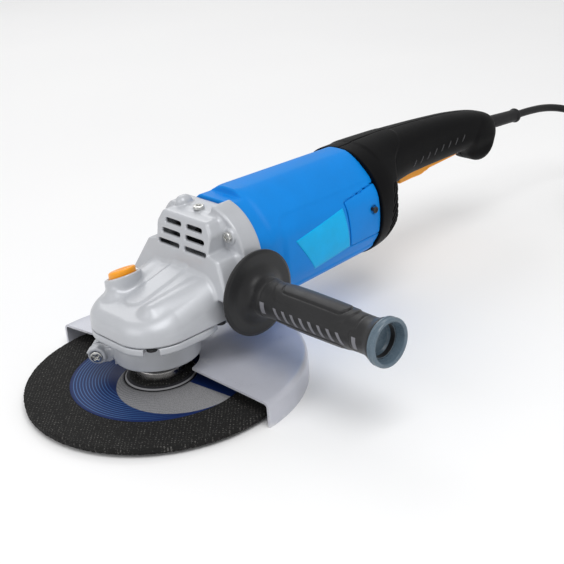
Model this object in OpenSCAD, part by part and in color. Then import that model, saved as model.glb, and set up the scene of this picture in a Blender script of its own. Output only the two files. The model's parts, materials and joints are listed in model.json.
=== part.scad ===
// Angle grinder, 230 mm class: a spindle at the origin, the motor along +X and the side handle
// towards -Y. The free end of the spindle and the lower edge of the guard lie in the plane z = 0.

/* [Disc and spindle] */
// Diameter of the grinding disc
disc_d = 230; // [225:1:232]
// Thickness of the grinding disc
disc_t = 6; // [5:0.5:6]
// Height of the disc's upper face above the ground
disc_top = 9; // [8.5:0.5:9.5]
// Diameter of the hole in the disc
disc_bore_d = 22.4; // [22.3:0.05:22.5]
// Diameter of the spindle's thread
thread_d = 14; // [14]

/* [Gear head] */
// Height of the joint between the gear case and the bearing flange
seam_z = 59; // [58:0.5:60]
// Width of the gear case
head_w = 100; // [98:1:102]
// Distance from the spindle to the front of the gear case
head_front = 45; // [44:0.5:46]
// Wall thickness of the gear case
case_wall = 4; // [3.5:0.5:4.5]
// Teeth on the crown gear
crown_teeth = 40; // [40]
// Teeth on the pinion
pinion_teeth = 10; // [10]

/* [Motor] */
// Height of the armature's axis
motor_z = 82; // [82]
// Height of the motor housing's centre line
body_z = 92; // [92]
// Radius of the motor housing at the gear case
housing_r_front = 56; // [55:0.5:57]
// Radius of the motor housing at the rear handle
housing_r_rear = 52; // [51.5:0.5:52.5]
// Station of the joint between gear case and motor housing
housing_x = 78; // [78]
// Station of the joint between motor housing and rear handle
handle_x = 228; // [228]

/* [Guard] */
// Outer radius of the guard
guard_r = 124.5; // [123:0.5:126]
// Height of the guard's top face
guard_top = 22; // [21.5:0.5:22.5]
// Thickness of the guard's sheet steel
sheet = 2; // [1.5:0.5:2]

/* [Side handle] */
// Station of the side handle along the tool
side_x = 62; // [62]
// Height of the side handle's axis
side_z = 78; // [77:0.5:79]
// Diameter of the side handle's hand guard
hand_guard_d = 73; // [70:1:76]
// Distance from the tool's centre plane to the end of the side handle
side_reach = 205; // [200:1:208]

/* [Cord] */
// Diameter of the mains cord
cord_d = 8; // [8]

/* [Hidden] */

$fn = 64;
cut = 0.5;          // how far a cutting solid passes beyond the face it opens
running = 0.05;     // radial clearance of a running fit
air = 0.6;          // gap between parts that move past each other

// Spindle stack, heights above the ground
hub_rise = 4.5;
hub_r = 24;
hub_top = disc_top + hub_rise;
thread_r = thread_d / 2;
thread_free = 2.5;  // length of the thread left free below the lock nut
screw_core_r = thread_r - 0.25;  // thread inside the nut, taken as a plain cylinder
journal_r = 8.5;
neck_low = 30;
neck_r = 33;
bearing_z = [38, 50];
bearing_r = 20;
plate_low = seam_z - 7;
plate_back = 48;
head_corner = 36;

// Bevel gears
crown_r = [28, 36];
pinion_x = crown_r;
cone = atan(pinion_teeth / crown_teeth);
web_z = [62, 70];
tooth_add = 1.2;
tooth_deep = 3.4;
tooth_tip = 0.45;
tooth_root = 1.15;

// Spindle lock
boss_at = [-4, 30];
boss_r = 15.5;
button_r = 11.6;
button_low = 88;
lock_r = 24;
lock_angle = atan2(boss_at[1], boss_at[0]);
lock_pin_r = 3;
lock_holes = 12;

// Armature
shaft_r = 6;
core_r = 24;
core_x = [105, 165];
stator_r = 39.5;
front_bearing_x = [46, 56];
front_bearing_r = 17.5;
rear_bearing_x = [214, 222];
rear_bearing_r = 13;
rear_shaft_r = 5;
fan_x = [60, 74];
fan_r = 37;
comm_x = [182, 198];
comm_r = 15;
shell_t = 3.2;

// Rear handle
grip_half = 15;
trigger_pivot = [386, 98];
trigger_front = 300;
trigger_half = 9.5;

// Mains cord: route from the sleeve to the coil, and from the coil to the plug
cord_exit = [504, 0, 103];
sleeve_tilt = 85;
coil_centre = [580, -118];
coil_radii = [40, 48, 56];
coil_layers = 4;
cord_lead = [
    [504, 0, 103], [520, 0, 102], [536, 0, 100.5], [552, -1, 98.5],
    [568, -4, 95.5], [583, -9, 91], [597, -17, 84.5], [609, -27, 76], [618, -38, 65.5],
    [625, -50, 53.5], [630, -62, 41], [633, -74, 29], [635, -87, 17.5], [636, -101, 8.5],
    [636, -110, 5], [636, -118, 4]
];
cord_tail = [[636, -118, 28], [636, -133, 27.5], [635, -148, 25.5], [633, -163, 22.5], [631, -178, 20.5]];
plug_at = [631, -178, 20.5];
coil_r = [coil_radii[0] - cord_d / 2, coil_radii[2] + cord_d / 2];
coil_h = coil_layers * cord_d;

// ---- helpers ----

module x_rod(r, x0, x1, y = 0, z = motor_z) {
    translate([x0, y, z]) rotate([0, 90, 0]) cylinder(h = x1 - x0, r = r);
}

module x_cone(r0, r1, x0, x1, z) {
    translate([x0, 0, z]) rotate([0, 90, 0]) cylinder(h = x1 - x0, r1 = r0, r2 = r1);
}

module y_rod(r, y0, y1, x, z) {
    translate([x, y0, z]) rotate([-90, 0, 0]) cylinder(h = y1 - y0, r = r);
}

module z_rod(r, z0, z1, x = 0, y = 0) {
    translate([x, y, z0]) cylinder(h = z1 - z0, r = r);
}

module z_ring(ri, ro, z0, z1) {
    difference() {
        z_rod(ro, z0, z1);
        z_rod(ri, z0 - cut, z1 + cut);
    }
}

module x_ring(ri, ro, x0, x1) {
    difference() {
        x_rod(ro, x0, x1);
        x_rod(ri, x0 - cut, x1 + cut);
    }
}

module box(low, high) {
    translate(low) cube(high - low);
}

// Rectangle with true round corners, centred on the origin
module round_rect(w, h, r) {
    square([w - 2 * r, h], center = true);
    square([w, h - 2 * r], center = true);
    for (sx = [-1, 1], sy = [-1, 1])
        translate([sx * (w / 2 - r), sy * (h / 2 - r)]) circle(r);
}

// A profile drawn in x and z, extruded across the tool
module across(half) {
    translate([0, half, 0]) rotate([90, 0, 0]) linear_extrude(2 * half) children();
}

// A profile drawn in -y and z, extruded along the tool
module along(x0, x1) {
    translate([x0, 0, 0]) rotate([90, 0, 90]) linear_extrude(x1 - x0) children();
}

// Countersunk-slot machine screw along +Z with its head at the top
module screw(shank_r, shank, head_r, head) {
    difference() {
        union() {
            translate([0, 0, -shank]) cylinder(h = shank, r = shank_r);
            cylinder(h = head, r = head_r);
        }
        for (a = [0, 90])
            rotate(a) translate([-head_r * 0.6, -head_r * 0.12, head * 0.4])
                cube([head_r * 1.2, head_r * 0.24, head]);
    }
}

// Solid swept along a list of points, round in section
function unit(v) = v / norm(v);
function heading(path, i) =
    unit(path[min(i + 1, len(path) - 1)] - path[max(i - 1, 0)]);
function side_of(t) = unit(cross(t, abs(t[2]) > 0.9 ? [1, 0, 0] : [0, 0, 1]));
function ring_at(path, i, r, n) =
    let (t = heading(path, i), u = side_of(t), v = cross(t, u))
    [for (k = [0:n - 1]) path[i] + r * (cos(360 * k / n) * u + sin(360 * k / n) * v)];

module sweep_round(path, r, n) {
    rings = len(path);
    points = [for (i = [0:rings - 1]) each ring_at(path, i, r, n)];
    sides = [
        for (i = [0:rings - 2], k = [0:n - 1])
            [i * n + k, (i + 1) * n + k, (i + 1) * n + (k + 1) % n, i * n + (k + 1) % n]
    ];
    first = [for (k = [0:n - 1]) k];
    last = [for (k = [n - 1:-1:0]) (rings - 1) * n + k];
    polyhedron(points, concat([first], sides, [last]), convexity = 10);
}

// ---- gear head ----

module head_plan(inset, back) {
    length = head_front + back - 2 * inset;
    translate([(back - head_front) / 2, 0])
        round_rect(length, head_w - 2 * inset, head_corner - inset);
}

module head_side() {
    polygon([
        [-head_front - 1, seam_z - cut], [-head_front - 1, 66], [-42, 75], [-35, 80], [34, 99],
        [62, 99], [62, seam_z - cut]
    ]);
}

module head_side_inner() {
    polygon([
        [-head_front + 2, seam_z - cut], [-head_front + 2, 66], [-40, 73.5], [-34, 77.5], [34, 95.5],
        [62, 95.5], [62, seam_z - cut]
    ]);
}

module vent_shape(inset) {
    intersection() {
        across(60) polygon([
            [34 + inset, 80], [34 + inset, 99], [43.5 + inset, 137 - inset], [62, 137 - inset], [62, 80]
        ]);
        along(30, 62) polygon([
            [-46 + inset, 80], [-46 + inset, 99], [-27 + inset, 137 - inset], [27 - inset, 137 - inset],
            [46 - inset, 99], [46 - inset, 80]
        ]);
    }
}

module collar_plan(inset) {
    translate([0, body_z]) round_rect(109 - 2 * inset, 109 - 2 * inset, 44 - inset);
}

module gear_case() {
    color("gainsboro") difference() {
        union() {
            intersection() {
                translate([0, 0, seam_z]) linear_extrude(45) head_plan(0, plate_back + 12);
                across(60) head_side();
            }
            for (side = [-1, 1])
                translate([-24, side * 33, 78]) rotate([0, 80, 0]) cylinder(h = 78, r = 9);
            vent_shape(0);
            along(54, housing_x) collar_plan(0);
            y_rod(14, -60, 60, side_x, side_z);
            z_rod(boss_r, 78, 99, boss_at[0], boss_at[1]);
        }
        // gear chamber, open downwards
        intersection() {
            translate([0, 0, seam_z - cut]) linear_extrude(45) head_plan(case_wall, plate_back);
            across(60) head_side_inner();
        }
        // fan chamber, open towards the motor
        along(58, housing_x + cut) collar_plan(case_wall);
        // outlet duct and its slots
        intersection() {
            vent_shape(3);
            box([30, -50, 102], [64, 50, 140]);
        }
        for (row = [0:2], side = [-1, 1])
            box([30, side > 0 ? 3.2 : -30.7 + 3.6 * row, 109 + 9 * row],
                [50, side > 0 ? 30.7 - 3.6 * row : -3.2, 113 + 9 * row]);
        // seat of the armature's front bearing
        x_rod(front_bearing_r, front_bearing_x[0], 60);
        x_rod(12, 40, 60);
        // threaded holes for the side handle
        for (side = [-1, 1])
            y_rod(thread_r + running, side > 0 ? 48 : -60 - cut, side > 0 ? 60 + cut : -48, side_x, side_z);
        // guide of the spindle lock, with a slanted mouth
        z_rod(button_r + 0.4, button_low - 7, 110, boss_at[0], boss_at[1]);
        translate([boss_at[0], boss_at[1], 97]) rotate([-27, 0, 0]) translate([-30, -30, 0]) cube([60, 60, 30]);
        rotate(lock_angle) z_rod(lock_pin_r + running, 60, 90, lock_r);
        for (p = flange_screw_at) z_rod(2.1, seam_z - cut, seam_z + 12.5, p[0], p[1]);
        z_rod(2.45, body_z + 40, body_z + 60, case_front + 6, 0);
        for (p = case_screw_at) x_rod(2.45, 40, 80, p[0], p[1]);
        for (p = case_screw_at) x_rod(5, 40, case_front, p[0], p[1]);
    }
    // bosses for the screws, inside the walls
    color("gainsboro") difference() {
        union() {
            intersection() {
                for (p = flange_screw_at) z_rod(6, seam_z, seam_z + 13, p[0], p[1]);
                translate([0, 0, seam_z]) linear_extrude(20) head_plan(0, plate_back);
            }
            for (p = case_screw_at) x_rod(6, 57, housing_x, p[0], p[1]);
        }
        for (p = flange_screw_at) z_rod(2.1, seam_z - cut, seam_z + 12.5, p[0], p[1]);
        for (p = case_screw_at) x_rod(2.45, 50, 80, p[0], p[1]);
    }
    // blind boss that carries the spindle's upper bearing
    color("gainsboro") z_ring(8, 11, 75, 84);
}

flange_screw_at = [[-29, -34], [-29, 34], [36, -42], [36, 42]];

module bearing_flange() {
    color("gainsboro") difference() {
        union() {
            translate([0, 0, plate_low]) linear_extrude(seam_z - plate_low) head_plan(0, plate_back);
            z_rod(neck_r, neck_low, plate_low);
        }
        z_rod(bearing_r, bearing_z[0], seam_z + cut);
        z_rod(17, neck_low - cut, bearing_z[0] + cut);
        for (p = flange_screw_at) {
            z_rod(2.2, plate_low - cut, seam_z + cut, p[0], p[1]);
            z_rod(4.3, plate_low - cut, plate_low + 3.5, p[0], p[1]);
        }
    }
}

module flange_screws() {
    color("dimgray") for (p = flange_screw_at)
        translate([p[0], p[1], plate_low + 3.5]) rotate([180, 0, 0]) screw(2, 15, 4, 3);
}

case_screw_at = [[-35, 121], [35, 121], [-35, 52], [35, 52]];
case_front = 54;

module case_screws() {
    color("silver") {
        for (p = case_screw_at)
            translate([case_front, p[0], p[1]]) rotate([0, -90, 0]) screw(2.4, 40, 4.6, 3);
        translate([case_front + 6, 0, body_z + 54.5]) screw(2.4, 8, 4.6, 3);
    }
}

module spindle_bearing_outer() {
    color("lightsteelblue") z_ring(15.5, bearing_r, bearing_z[0], bearing_z[1]);
}

module spindle_bearing_inner() {
    color("silver") z_ring(journal_r, 12, bearing_z[0], bearing_z[1]);
}

module spindle_needle_bearing() {
    color("silver") z_ring(5 + running, 8, 75, 80.5);
}

module spindle_seal() {
    color("black") z_ring(journal_r + air, 17, 32, 36.5);
}

module spindle() {
    color("silver") {
        z_rod(thread_r, 0, thread_free);
        z_rod(screw_core_r, thread_free, hub_top + 1);
        z_rod(journal_r, hub_top + 1, 74);
        z_rod(5, 74, 80);
    }
}

// Trapezoid tooth, root at the origin side, drawn across and upwards
module tooth_section() {
    polygon([[-tooth_deep, -tooth_root], [0, -tooth_tip], [0, tooth_tip], [-tooth_deep, tooth_root]]);
}

module crown_gear() {
    face = (crown_r[1] - crown_r[0]) / cos(cone);
    tip_z = motor_z - crown_r[0] / 4 + tooth_add;
    color("slategray") difference() {
        union() {
            z_rod(crown_r[1], web_z[0], web_z[1]);
            z_rod(14, web_z[1], 73.5);
            z_ring(crown_r[0], crown_r[1], web_z[1], 71);
            for (k = [0:crown_teeth - 1])
                rotate((k + 0.5) * 360 / crown_teeth) translate([crown_r[0], 0, tip_z])
                    rotate([0, 90 + cone, 0]) rotate(180) linear_extrude(face) tooth_section();
        }
        z_rod(journal_r, web_z[0] - cut, 76);
        for (k = [0:lock_holes - 1])
            rotate(lock_angle + k * 360 / lock_holes) z_rod(3.6, web_z[0] - cut, web_z[1] + cut, lock_r);
    }
}

module pinion() {
    face = (pinion_x[1] - pinion_x[0]) / cos(cone);
    tip_r = pinion_x[0] / 4 + tooth_add;
    root = pinion_x / 4 - [1.6, 1.6];
    color("slategray") difference() {
        union() {
            x_cone(root[0], root[1], pinion_x[0], pinion_x[1], motor_z);
            x_rod(root[1], pinion_x[1], 42);
            for (k = [0:pinion_teeth - 1])
                translate([pinion_x[0], 0, motor_z]) rotate([k * 360 / pinion_teeth, 0, 0])
                    translate([0, 0, -tip_r]) rotate([0, 90 + cone, 0])
                        linear_extrude(face) tooth_section();
        }
        x_rod(4, 20, 44);
    }
}

// ---- disc and its clamping ----

module disc_flange() {
    color("silver") difference() {
        union() {
            z_rod(19, hub_top, hub_top + 4);
            z_rod(16.5, hub_top + 4, neck_low - 1.5);
            z_rod(11.1, hub_top - 3, hub_top);
        }
        z_rod(journal_r, hub_top + 1, neck_low);
        z_rod(thread_r, hub_top - 4, hub_top + 2);
    }
}

module grinding_disc() {
    low = disc_top - disc_t;
    color("darkslategray") rotate_extrude() polygon([
        [disc_bore_d / 2, low + hub_rise], [hub_r - 2, low + hub_rise], [hub_r + 4, low],
        [disc_d / 2, low], [disc_d / 2, disc_top], [hub_r + 6, disc_top], [hub_r, hub_top],
        [disc_bore_d / 2, hub_top]
    ]);
}

module disc_label() {
    color("midnightblue") z_ring(hub_r + 8, 76.7, disc_top, disc_top + 0.3);
}

module lock_nut() {
    top = hub_top - disc_t;
    color("dimgray") difference() {
        union() {
            z_rod(20, top - 3, top);
            z_rod(14, thread_free, top - 3);
        }
        z_rod(screw_core_r, 0, top + cut);
        for (k = [0:3]) rotate(45 + 90 * k) z_rod(2.5, 2, top - 1.5, 17.2);
    }
}

module lock_button() {
    color("orange") difference() {
        z_rod(button_r, button_low, 108, boss_at[0], boss_at[1]);
        translate([boss_at[0], boss_at[1], 99.5]) rotate([-27, 0, 0])
            translate([-30, -30, 0]) cube([60, 60, 30]);
        rotate(lock_angle) z_rod(lock_pin_r, button_low - 1, button_low + 4, lock_r);
    }
}

module lock_pin() {
    color("silver") rotate(lock_angle) z_rod(lock_pin_r, web_z[1] + 1.5, button_low + 4, lock_r);
}

// ---- guard ----

module guard_plan(r) {
    intersection() {
        circle(r, $fn = 128);
        polygon([[8, -135], [8, -29], [2, 29], [-14, 135], [140, 135], [140, -135]]);
    }
}

module guard() {
    color("lightsteelblue") difference() {
        linear_extrude(guard_top) guard_plan(guard_r);
        translate([0, 0, -cut]) linear_extrude(guard_top - sheet + cut) circle(guard_r - sheet, $fn = 128);
        z_rod(neck_r + 1, -cut, 40);
    }
    color("lightsteelblue") difference() {
        translate([0, 0, guard_top]) linear_extrude(neck_low - guard_top) guard_plan(neck_r + 4);
        z_rod(neck_r + 1, guard_top - cut, 40);
    }
}

clamp_angle = 128.6;
clamp_reach = 50;
clamp_z = 31;

module guard_clamp_band() {
    color("gainsboro") difference() {
        union() {
            z_rod(neck_r + 4, neck_low, plate_low - 1);
            rotate(clamp_angle) box([neck_r, -9, 24], [neck_r + 25, 9, 39]);
        }
        z_rod(neck_r + running, 20, plate_low);
        rotate(clamp_angle) {
            box([neck_r - 2, -1.5, 20], [neck_r + 30, 1.5, plate_low]);
            translate([clamp_reach, -12, clamp_z]) rotate([-90, 0, 0]) cylinder(h = 24, r = 3.1);
        }
    }
}

module clamp_screw() {
    color("silver") rotate(clamp_angle) translate([clamp_reach, 9, clamp_z]) rotate([-90, 0, 0])
        screw(3, 21, 5.2, 4);
}

// ---- motor ----

module front_bearing_outer() {
    color("lightsteelblue") x_ring(13.5, front_bearing_r, front_bearing_x[0], front_bearing_x[1]);
}

module front_bearing_inner() {
    color("silver") x_ring(shaft_r, 10, front_bearing_x[0], front_bearing_x[1]);
}

module rear_bearing_outer() {
    color("lightsteelblue") x_ring(10, rear_bearing_r, rear_bearing_x[0], rear_bearing_x[1]);
}

module rear_bearing_inner() {
    color("silver") x_ring(rear_shaft_r, 7.5, rear_bearing_x[0], rear_bearing_x[1]);
}

module armature_shaft() {
    color("silver") {
        x_rod(4, pinion_x[0] - 1, 42);
        x_rod(shaft_r, 42, 205);
        x_rod(rear_shaft_r, 205, 224);
    }
}

module cooling_fan() {
    color("black") difference() {
        union() {
            x_rod(11, fan_x[0], fan_x[1]);
            x_rod(fan_r, fan_x[1] - 2, fan_x[1]);
            for (k = [0:8])
                translate([0, 0, motor_z]) rotate([k * 40, 0, 0])
                    box([fan_x[0] + 1, 9, -1], [fan_x[1] - 1, fan_r - 1, 1]);
        }
        x_rod(shaft_r, fan_x[0] - cut, fan_x[1] + cut);
    }
}

module armature_core() {
    color("gray") difference() {
        x_rod(core_r, core_x[0], core_x[1]);
        x_rod(shaft_r, core_x[0] - cut, core_x[1] + cut);
        for (k = [0:11])
            translate([0, 0, motor_z]) rotate([k * 30, 0, 0])
                box([core_x[0] - cut, core_r - 7, -2], [core_x[1] + cut, core_r + 1, 2]);
    }
}

module armature_windings() {
    color("chocolate") {
        for (x = [core_x[0] - 11, core_x[1]]) x_ring(shaft_r + 2, core_r - 3, x, x + 11);
        for (k = [0:11])
            translate([0, 0, motor_z]) rotate([k * 30, 0, 0])
                box([core_x[0] - 1, core_r - 7, -2], [core_x[1] + 1, core_r - 3.5, 2]);
    }
}

module commutator() {
    color("peru") difference() {
        x_ring(shaft_r, comm_r, comm_x[0], comm_x[1]);
        for (k = [0:23])
            translate([0, 0, motor_z]) rotate([k * 15, 0, 0])
                box([comm_x[0] - cut, comm_r - 1.5, -0.3], [comm_x[1] + cut, comm_r + 1, 0.3]);
    }
}

module air_baffle() {
    color("black") difference() {
        along(75.5, 77.8) collar_plan(case_wall + 0.2);
        x_rod(32, 74, 80);
        for (p = case_screw_at) x_rod(6.3, 74, 80, p[0], p[1]);
    }
}

module stator_core() {
    color("dimgray") difference() {
        x_ring(core_r + 0.8, stator_r, core_x[0], core_x[1]);
        for (a = [45:90:315])
            translate([0, 0, motor_z]) rotate([a, 0, 0])
                box([core_x[0] - cut, core_r - 2, -5], [core_x[1] + cut, stator_r - 6, 5]);
    }
}

module field_coils() {
    color("chocolate") for (side = [0, 180])
        translate([0, 0, motor_z]) rotate([side, 0, 0]) {
            for (a = [45, 135])
                rotate([a, 0, 0]) box([core_x[0] - 1, core_r + 2, -4.6], [core_x[1] + 1, stator_r - 6.5, 4.6]);
            for (x = [core_x[0] - 11, core_x[1] + 1])
                translate([x, 0, 0]) rotate([90, 0, 90]) rotate(38)
                    rotate_extrude(angle = 104) translate([core_r + 2, 0]) square([stator_r - core_r - 8.5, 10]);
        }
}

// ---- motor housing ----

function housing_r(x) =
    housing_r_front + (housing_r_rear - housing_r_front) * (x - housing_x) / (handle_x - housing_x);

module cover_window(grow) {
    intersection() {
        x_cone(housing_r_front + 2, housing_r_rear + 2, housing_x, handle_x, body_z);
        for (side = [-1, 1])
            box([184 - grow, side > 0 ? 40 : -60, 71 - grow], [handle_x + grow, side > 0 ? 60 : -40, 113 + grow]);
    }
}

module motor_housing() {
    inner = [housing_r(housing_x) - shell_t, housing_r(handle_x) - shell_t];
    color("dodgerblue") difference() {
        union() {
            difference() {
                x_cone(housing_r_front, housing_r_rear, housing_x, handle_x, body_z);
                x_cone(inner[0], inner[1], housing_x - 0.01, handle_x + 0.01, body_z);
            }
            // lands that hold the stator
            intersection() {
                x_cone(inner[0] + 1, inner[1] + 1, housing_x, handle_x, body_z);
                union() {
                    for (a = [40, 140, 220, 270, 320])
                        translate([0, 0, motor_z]) rotate([a, 0, 0])
                            box([core_x[0] + 4, 30, -5], [core_x[1] - 4, 80, 5]);
                    for (p = case_screw_at) x_rod(6, housing_x, 98, p[0], p[1]);
                    box([208, -60, 30], [211, 60, 150]);
                    x_rod(rear_bearing_r + 3, 208, 224);
                }
            }
        }
        x_rod(stator_r, core_x[0], core_x[1] + 8);
        for (p = case_screw_at) x_rod(2.45, 70, 95, p[0], p[1]);
        x_rod(rear_bearing_r, rear_bearing_x[0], 230);
        x_rod(rear_shaft_r + 3, 200, 230);
        // air passages around the rear bearing
        for (a = [90:60:390])
            translate([0, 0, motor_z]) rotate([a, 0, 0]) translate([200, 26, 0])
                rotate([0, 90, 0]) cylinder(h = 20, r = 7);
        difference() {
            cover_window(0);
            x_cone(housing_r_front - 1.5, housing_r_rear - 1.5, housing_x - 1, handle_x + 1, body_z);
        }
        for (side = [-1, 1]) y_rod(1.6, side > 0 ? 40 : -60, side > 0 ? 60 : -40, 219, body_z + 5);
    }
}

module brush_covers() {
    color("dodgerblue") difference() {
        intersection() {
            x_cone(housing_r_front, housing_r_rear, housing_x, handle_x, body_z);
            cover_window(-0.2);
        }
        x_cone(housing_r_front - 1.5, housing_r_rear - 1.5, housing_x - 1, handle_x + 1, body_z);
        for (side = [-1, 1]) y_rod(4, side > 0 ? 40 : -60, side > 0 ? 60 : -40, 219, body_z + 5);
    }
}

module cover_screws() {
    color("dimgray") for (side = [-1, 1])
        translate([219, side * (housing_r(219) - 1.2), body_z + 5]) rotate([-90 * side, 0, 0]) screw(1.5, 6, 3.2, 1.2);
}

module brush_holders() {
    color("goldenrod") for (side = [-1, 1]) difference() {
        box([184, side > 0 ? 18 : -40, motor_z - 7], [196, side > 0 ? 40 : -18, motor_z + 7]);
        box([186.5, side > 0 ? 17 : -38, motor_z - 4.5], [193.5, side > 0 ? 38 : -17, motor_z + 4.5]);
    }
}

module carbon_brushes() {
    color("black") for (side = [-1, 1])
        box([186.8, side > 0 ? comm_r + 0.4 : -34, motor_z - 4.2], [193.2, side > 0 ? 34 : -comm_r - 0.4, motor_z + 4.2]);
}

// ---- rear handle ----

module handle_station(x, z0, z1, w) {
    translate([x, 0, (z0 + z1) / 2]) rotate([0, 90, 0])
        linear_extrude(0.1) scale([(z1 - z0) / 2, w / 2]) circle(1, $fn = 32);
}

module handle_outer() {
    hull() {
        translate([handle_x + 0.2, 0, body_z]) rotate([0, 90, 0]) cylinder(h = 0.1, r = housing_r_rear, $fn = 48);
        handle_station(246, 42, 144, 100);
        handle_station(261, 46, 144, 86);
        handle_station(271, 60, 143.5, 66);
    }
    hull() {
        handle_station(262, 90, 144, 62);
        handle_station(300, 93.5, 143, 54);
    }
    hull() {
        handle_station(300, 93.5, 143, 54);
        handle_station(350, 92.6, 139.5, 45);
    }
    hull() {
        handle_station(350, 92.6, 139.5, 45);
        handle_station(395, 92, 135, 40);
    }
    hull() {
        handle_station(395, 92, 135, 40);
        handle_station(430, 92, 129, 40);
        handle_station(449, 98, 118, 26);
    }
    hull() for (s = [[22, 12], [17, 18]]) y_rod(s[0], -s[1], s[1], 426, 99, $fn = 32);
}

module handle_cavity() {
    x_rod(44, handle_x - 1, 244, 0, 93);
    x_rod(34, 243, 258, 0, 96);
    x_rod(21, 257, 292, 0, 118.5);
    box([288, -grip_half, 101], [378, grip_half, 127]);
    box([377, -12, 99], [401, 12, 122]);
    box([trigger_front - 1.5, -trigger_half - air, 70], [trigger_pivot[0] + 6, trigger_half + air, 104]);
    box([400, -9, 98], [438, 9, 120]);
    on_sleeve() translate([0, 0, 40]) cylinder(h = 30, r = 7.4);
    on_sleeve() translate([0, 0, 61.5]) cylinder(h = 5, r = 8.6);
    for (p = handle_screw_at) y_rod(1.5, -30, 30, p[0], p[1]);
    for (p = handle_screw_at) y_rod(3.4, p[2] - 4, 40, p[0], p[1]);
    y_rod(2.5, -13, 13, trigger_pivot[0], trigger_pivot[1]);
}

handle_screw_at = [[300, 134, 23], [360, 131, 18], [426, 88, 17]];

module handle_half(side) {
    difference() {
        intersection() {
            handle_outer();
            box([220, side > 0 ? 0 : -60, 30], [460, side > 0 ? 60 : 0, 150]);
        }
        handle_cavity();
    }
}

module handle_shell_left() {
    color("black") handle_half(1);
}

module handle_shell_right() {
    color("black") handle_half(-1);
}

module handle_screws() {
    color("dimgray") for (p = handle_screw_at)
        translate([p[0], p[2] - 3.5, p[1]]) rotate([-90, 0, 0]) screw(1.5, 16, 3.2, 2);
}

module switch_body() {
    color("darkslategray") difference() {
        box([316, -12, 105.5], [372, 12, 126]);
        z_rod(3.5, 104, 116, 342);
    }
}

module switch_plunger() {
    color("white") z_rod(3, 97.8, 110, 342);
}

module capacitor() {
    color("gold") box([268, -12, 104], [296, 12, 122]);
}

module trigger() {
    color("orange") difference() {
        across(trigger_half) polygon([
            [trigger_front, 88], [335, 88], [343.5, 91.2], [trigger_pivot[0] + 4, 92],
            [trigger_pivot[0] + 4, 102], [380, 102], [376, 97], [trigger_front, 97]
        ]);
        y_rod(2.5 + running, -12, 12, trigger_pivot[0], trigger_pivot[1]);
    }
}

module trigger_pin() {
    color("silver") y_rod(2.5, -13, 13, trigger_pivot[0], trigger_pivot[1]);
}

module cord_clamp() {
    color("dimgray") difference() {
        box([414, -9, 99], [424, 9, 117]);
        x_rod(cord_d / 2, 410, 430, 0, 108);
    }
}

// ---- side handle ----

module side_turned(profile) {
    translate([side_x, 0, side_z]) rotate([90, 0, 0]) rotate_extrude() polygon(profile);
}

module side_handle_stud() {
    color("silver") y_rod(thread_r, -120, -48.5, side_x, side_z);
}

module side_handle_core() {
    color("slategray") side_turned([
        [thread_r, 62], [13, 62], [13, 190], [9, 190], [9, 122], [thread_r, 122]
    ]);
}

module side_handle_grip() {
    rim = hand_guard_d / 2;
    color("dimgray") side_turned([
        [13, 62], [rim - 3, 60.5], [rim, 62.5], [rim - 1, 65.5], [22, 72], [17, 84], [16, 92], [16.5, 130],
        [15.5, 180], [15.2, 188], [18, 196], [18, 197.5], [13, 197.5]
    ]);
}

module side_handle_ring() {
    color("lightslategray") side_turned([
        [13, 197.5], [19, 197.5], [19.5, 199], [19.5, side_reach - 1], [18.8, side_reach],
        [15.5, side_reach], [9.5, 190], [13, 190]
    ]);
}

// ---- cord ----

// Frame of the strain relief: +Z runs from the cord's exit back into the handle
module on_sleeve() {
    translate(cord_exit) rotate([0, -sleeve_tilt, 0]) children();
}

module strain_relief() {
    color("black") on_sleeve() difference() {
        union() {
            translate([0, 0, 2]) cylinder(h = 58, r1 = 6.6, r2 = 7.2);
            translate([0, 0, 0.5]) cylinder(h = 5, r = 7.6);
            translate([0, 0, 62]) cylinder(h = 4, r = 8.2);
            translate([0, 0, 56]) cylinder(h = 8, r = 6.8);
        }
        translate([0, 0, -1]) cylinder(h = 80, r = cord_d / 2);
    }
}

module cord() {
    color("black") {
        sweep_round(cord_lead, cord_d / 2, 10);
        sweep_round(cord_tail, cord_d / 2, 10);
    }
}

module cord_coil() {
    color("black") translate([coil_centre[0], coil_centre[1], 0]) rotate_extrude()
        translate([coil_r[0], 0]) square([coil_r[1] - coil_r[0], coil_h]);
}

module plug_body() {
    color("black") translate(plug_at) rotate([90, 0, 0]) {
        cylinder(h = 24, r1 = 6, r2 = 9);
        translate([0, 0, 24]) cylinder(h = 10, r1 = 12, r2 = 18.5);
        translate([0, 0, 34]) cylinder(h = 26, r = 18.5);
    }
}

module plug_pins() {
    color("silver") translate(plug_at) rotate([90, 0, 0]) for (side = [-1, 1])
        translate([side * 9.5, 0, 60]) cylinder(h = 19, r = 2.4);
}

gear_case();
bearing_flange();
flange_screws();
case_screws();
spindle_bearing_outer();
spindle_needle_bearing();
spindle_seal();
spindle();
spindle_bearing_inner();
crown_gear();
disc_flange();
grinding_disc();
disc_label();
lock_nut();
lock_button();
lock_pin();
guard();
guard_clamp_band();
clamp_screw();
front_bearing_outer();
front_bearing_inner();
armature_shaft();
pinion();
cooling_fan();
armature_core();
armature_windings();
commutator();
rear_bearing_inner();
rear_bearing_outer();
air_baffle();
stator_core();
field_coils();
motor_housing();
brush_holders();
carbon_brushes();
brush_covers();
cover_screws();
handle_shell_left();
handle_shell_right();
handle_screws();
switch_body();
switch_plunger();
capacitor();
trigger();
trigger_pin();
cord_clamp();
side_handle_stud();
side_handle_core();
side_handle_grip();
side_handle_ring();
strain_relief();
cord();
cord_coil();
plug_body();
plug_pins();
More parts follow.
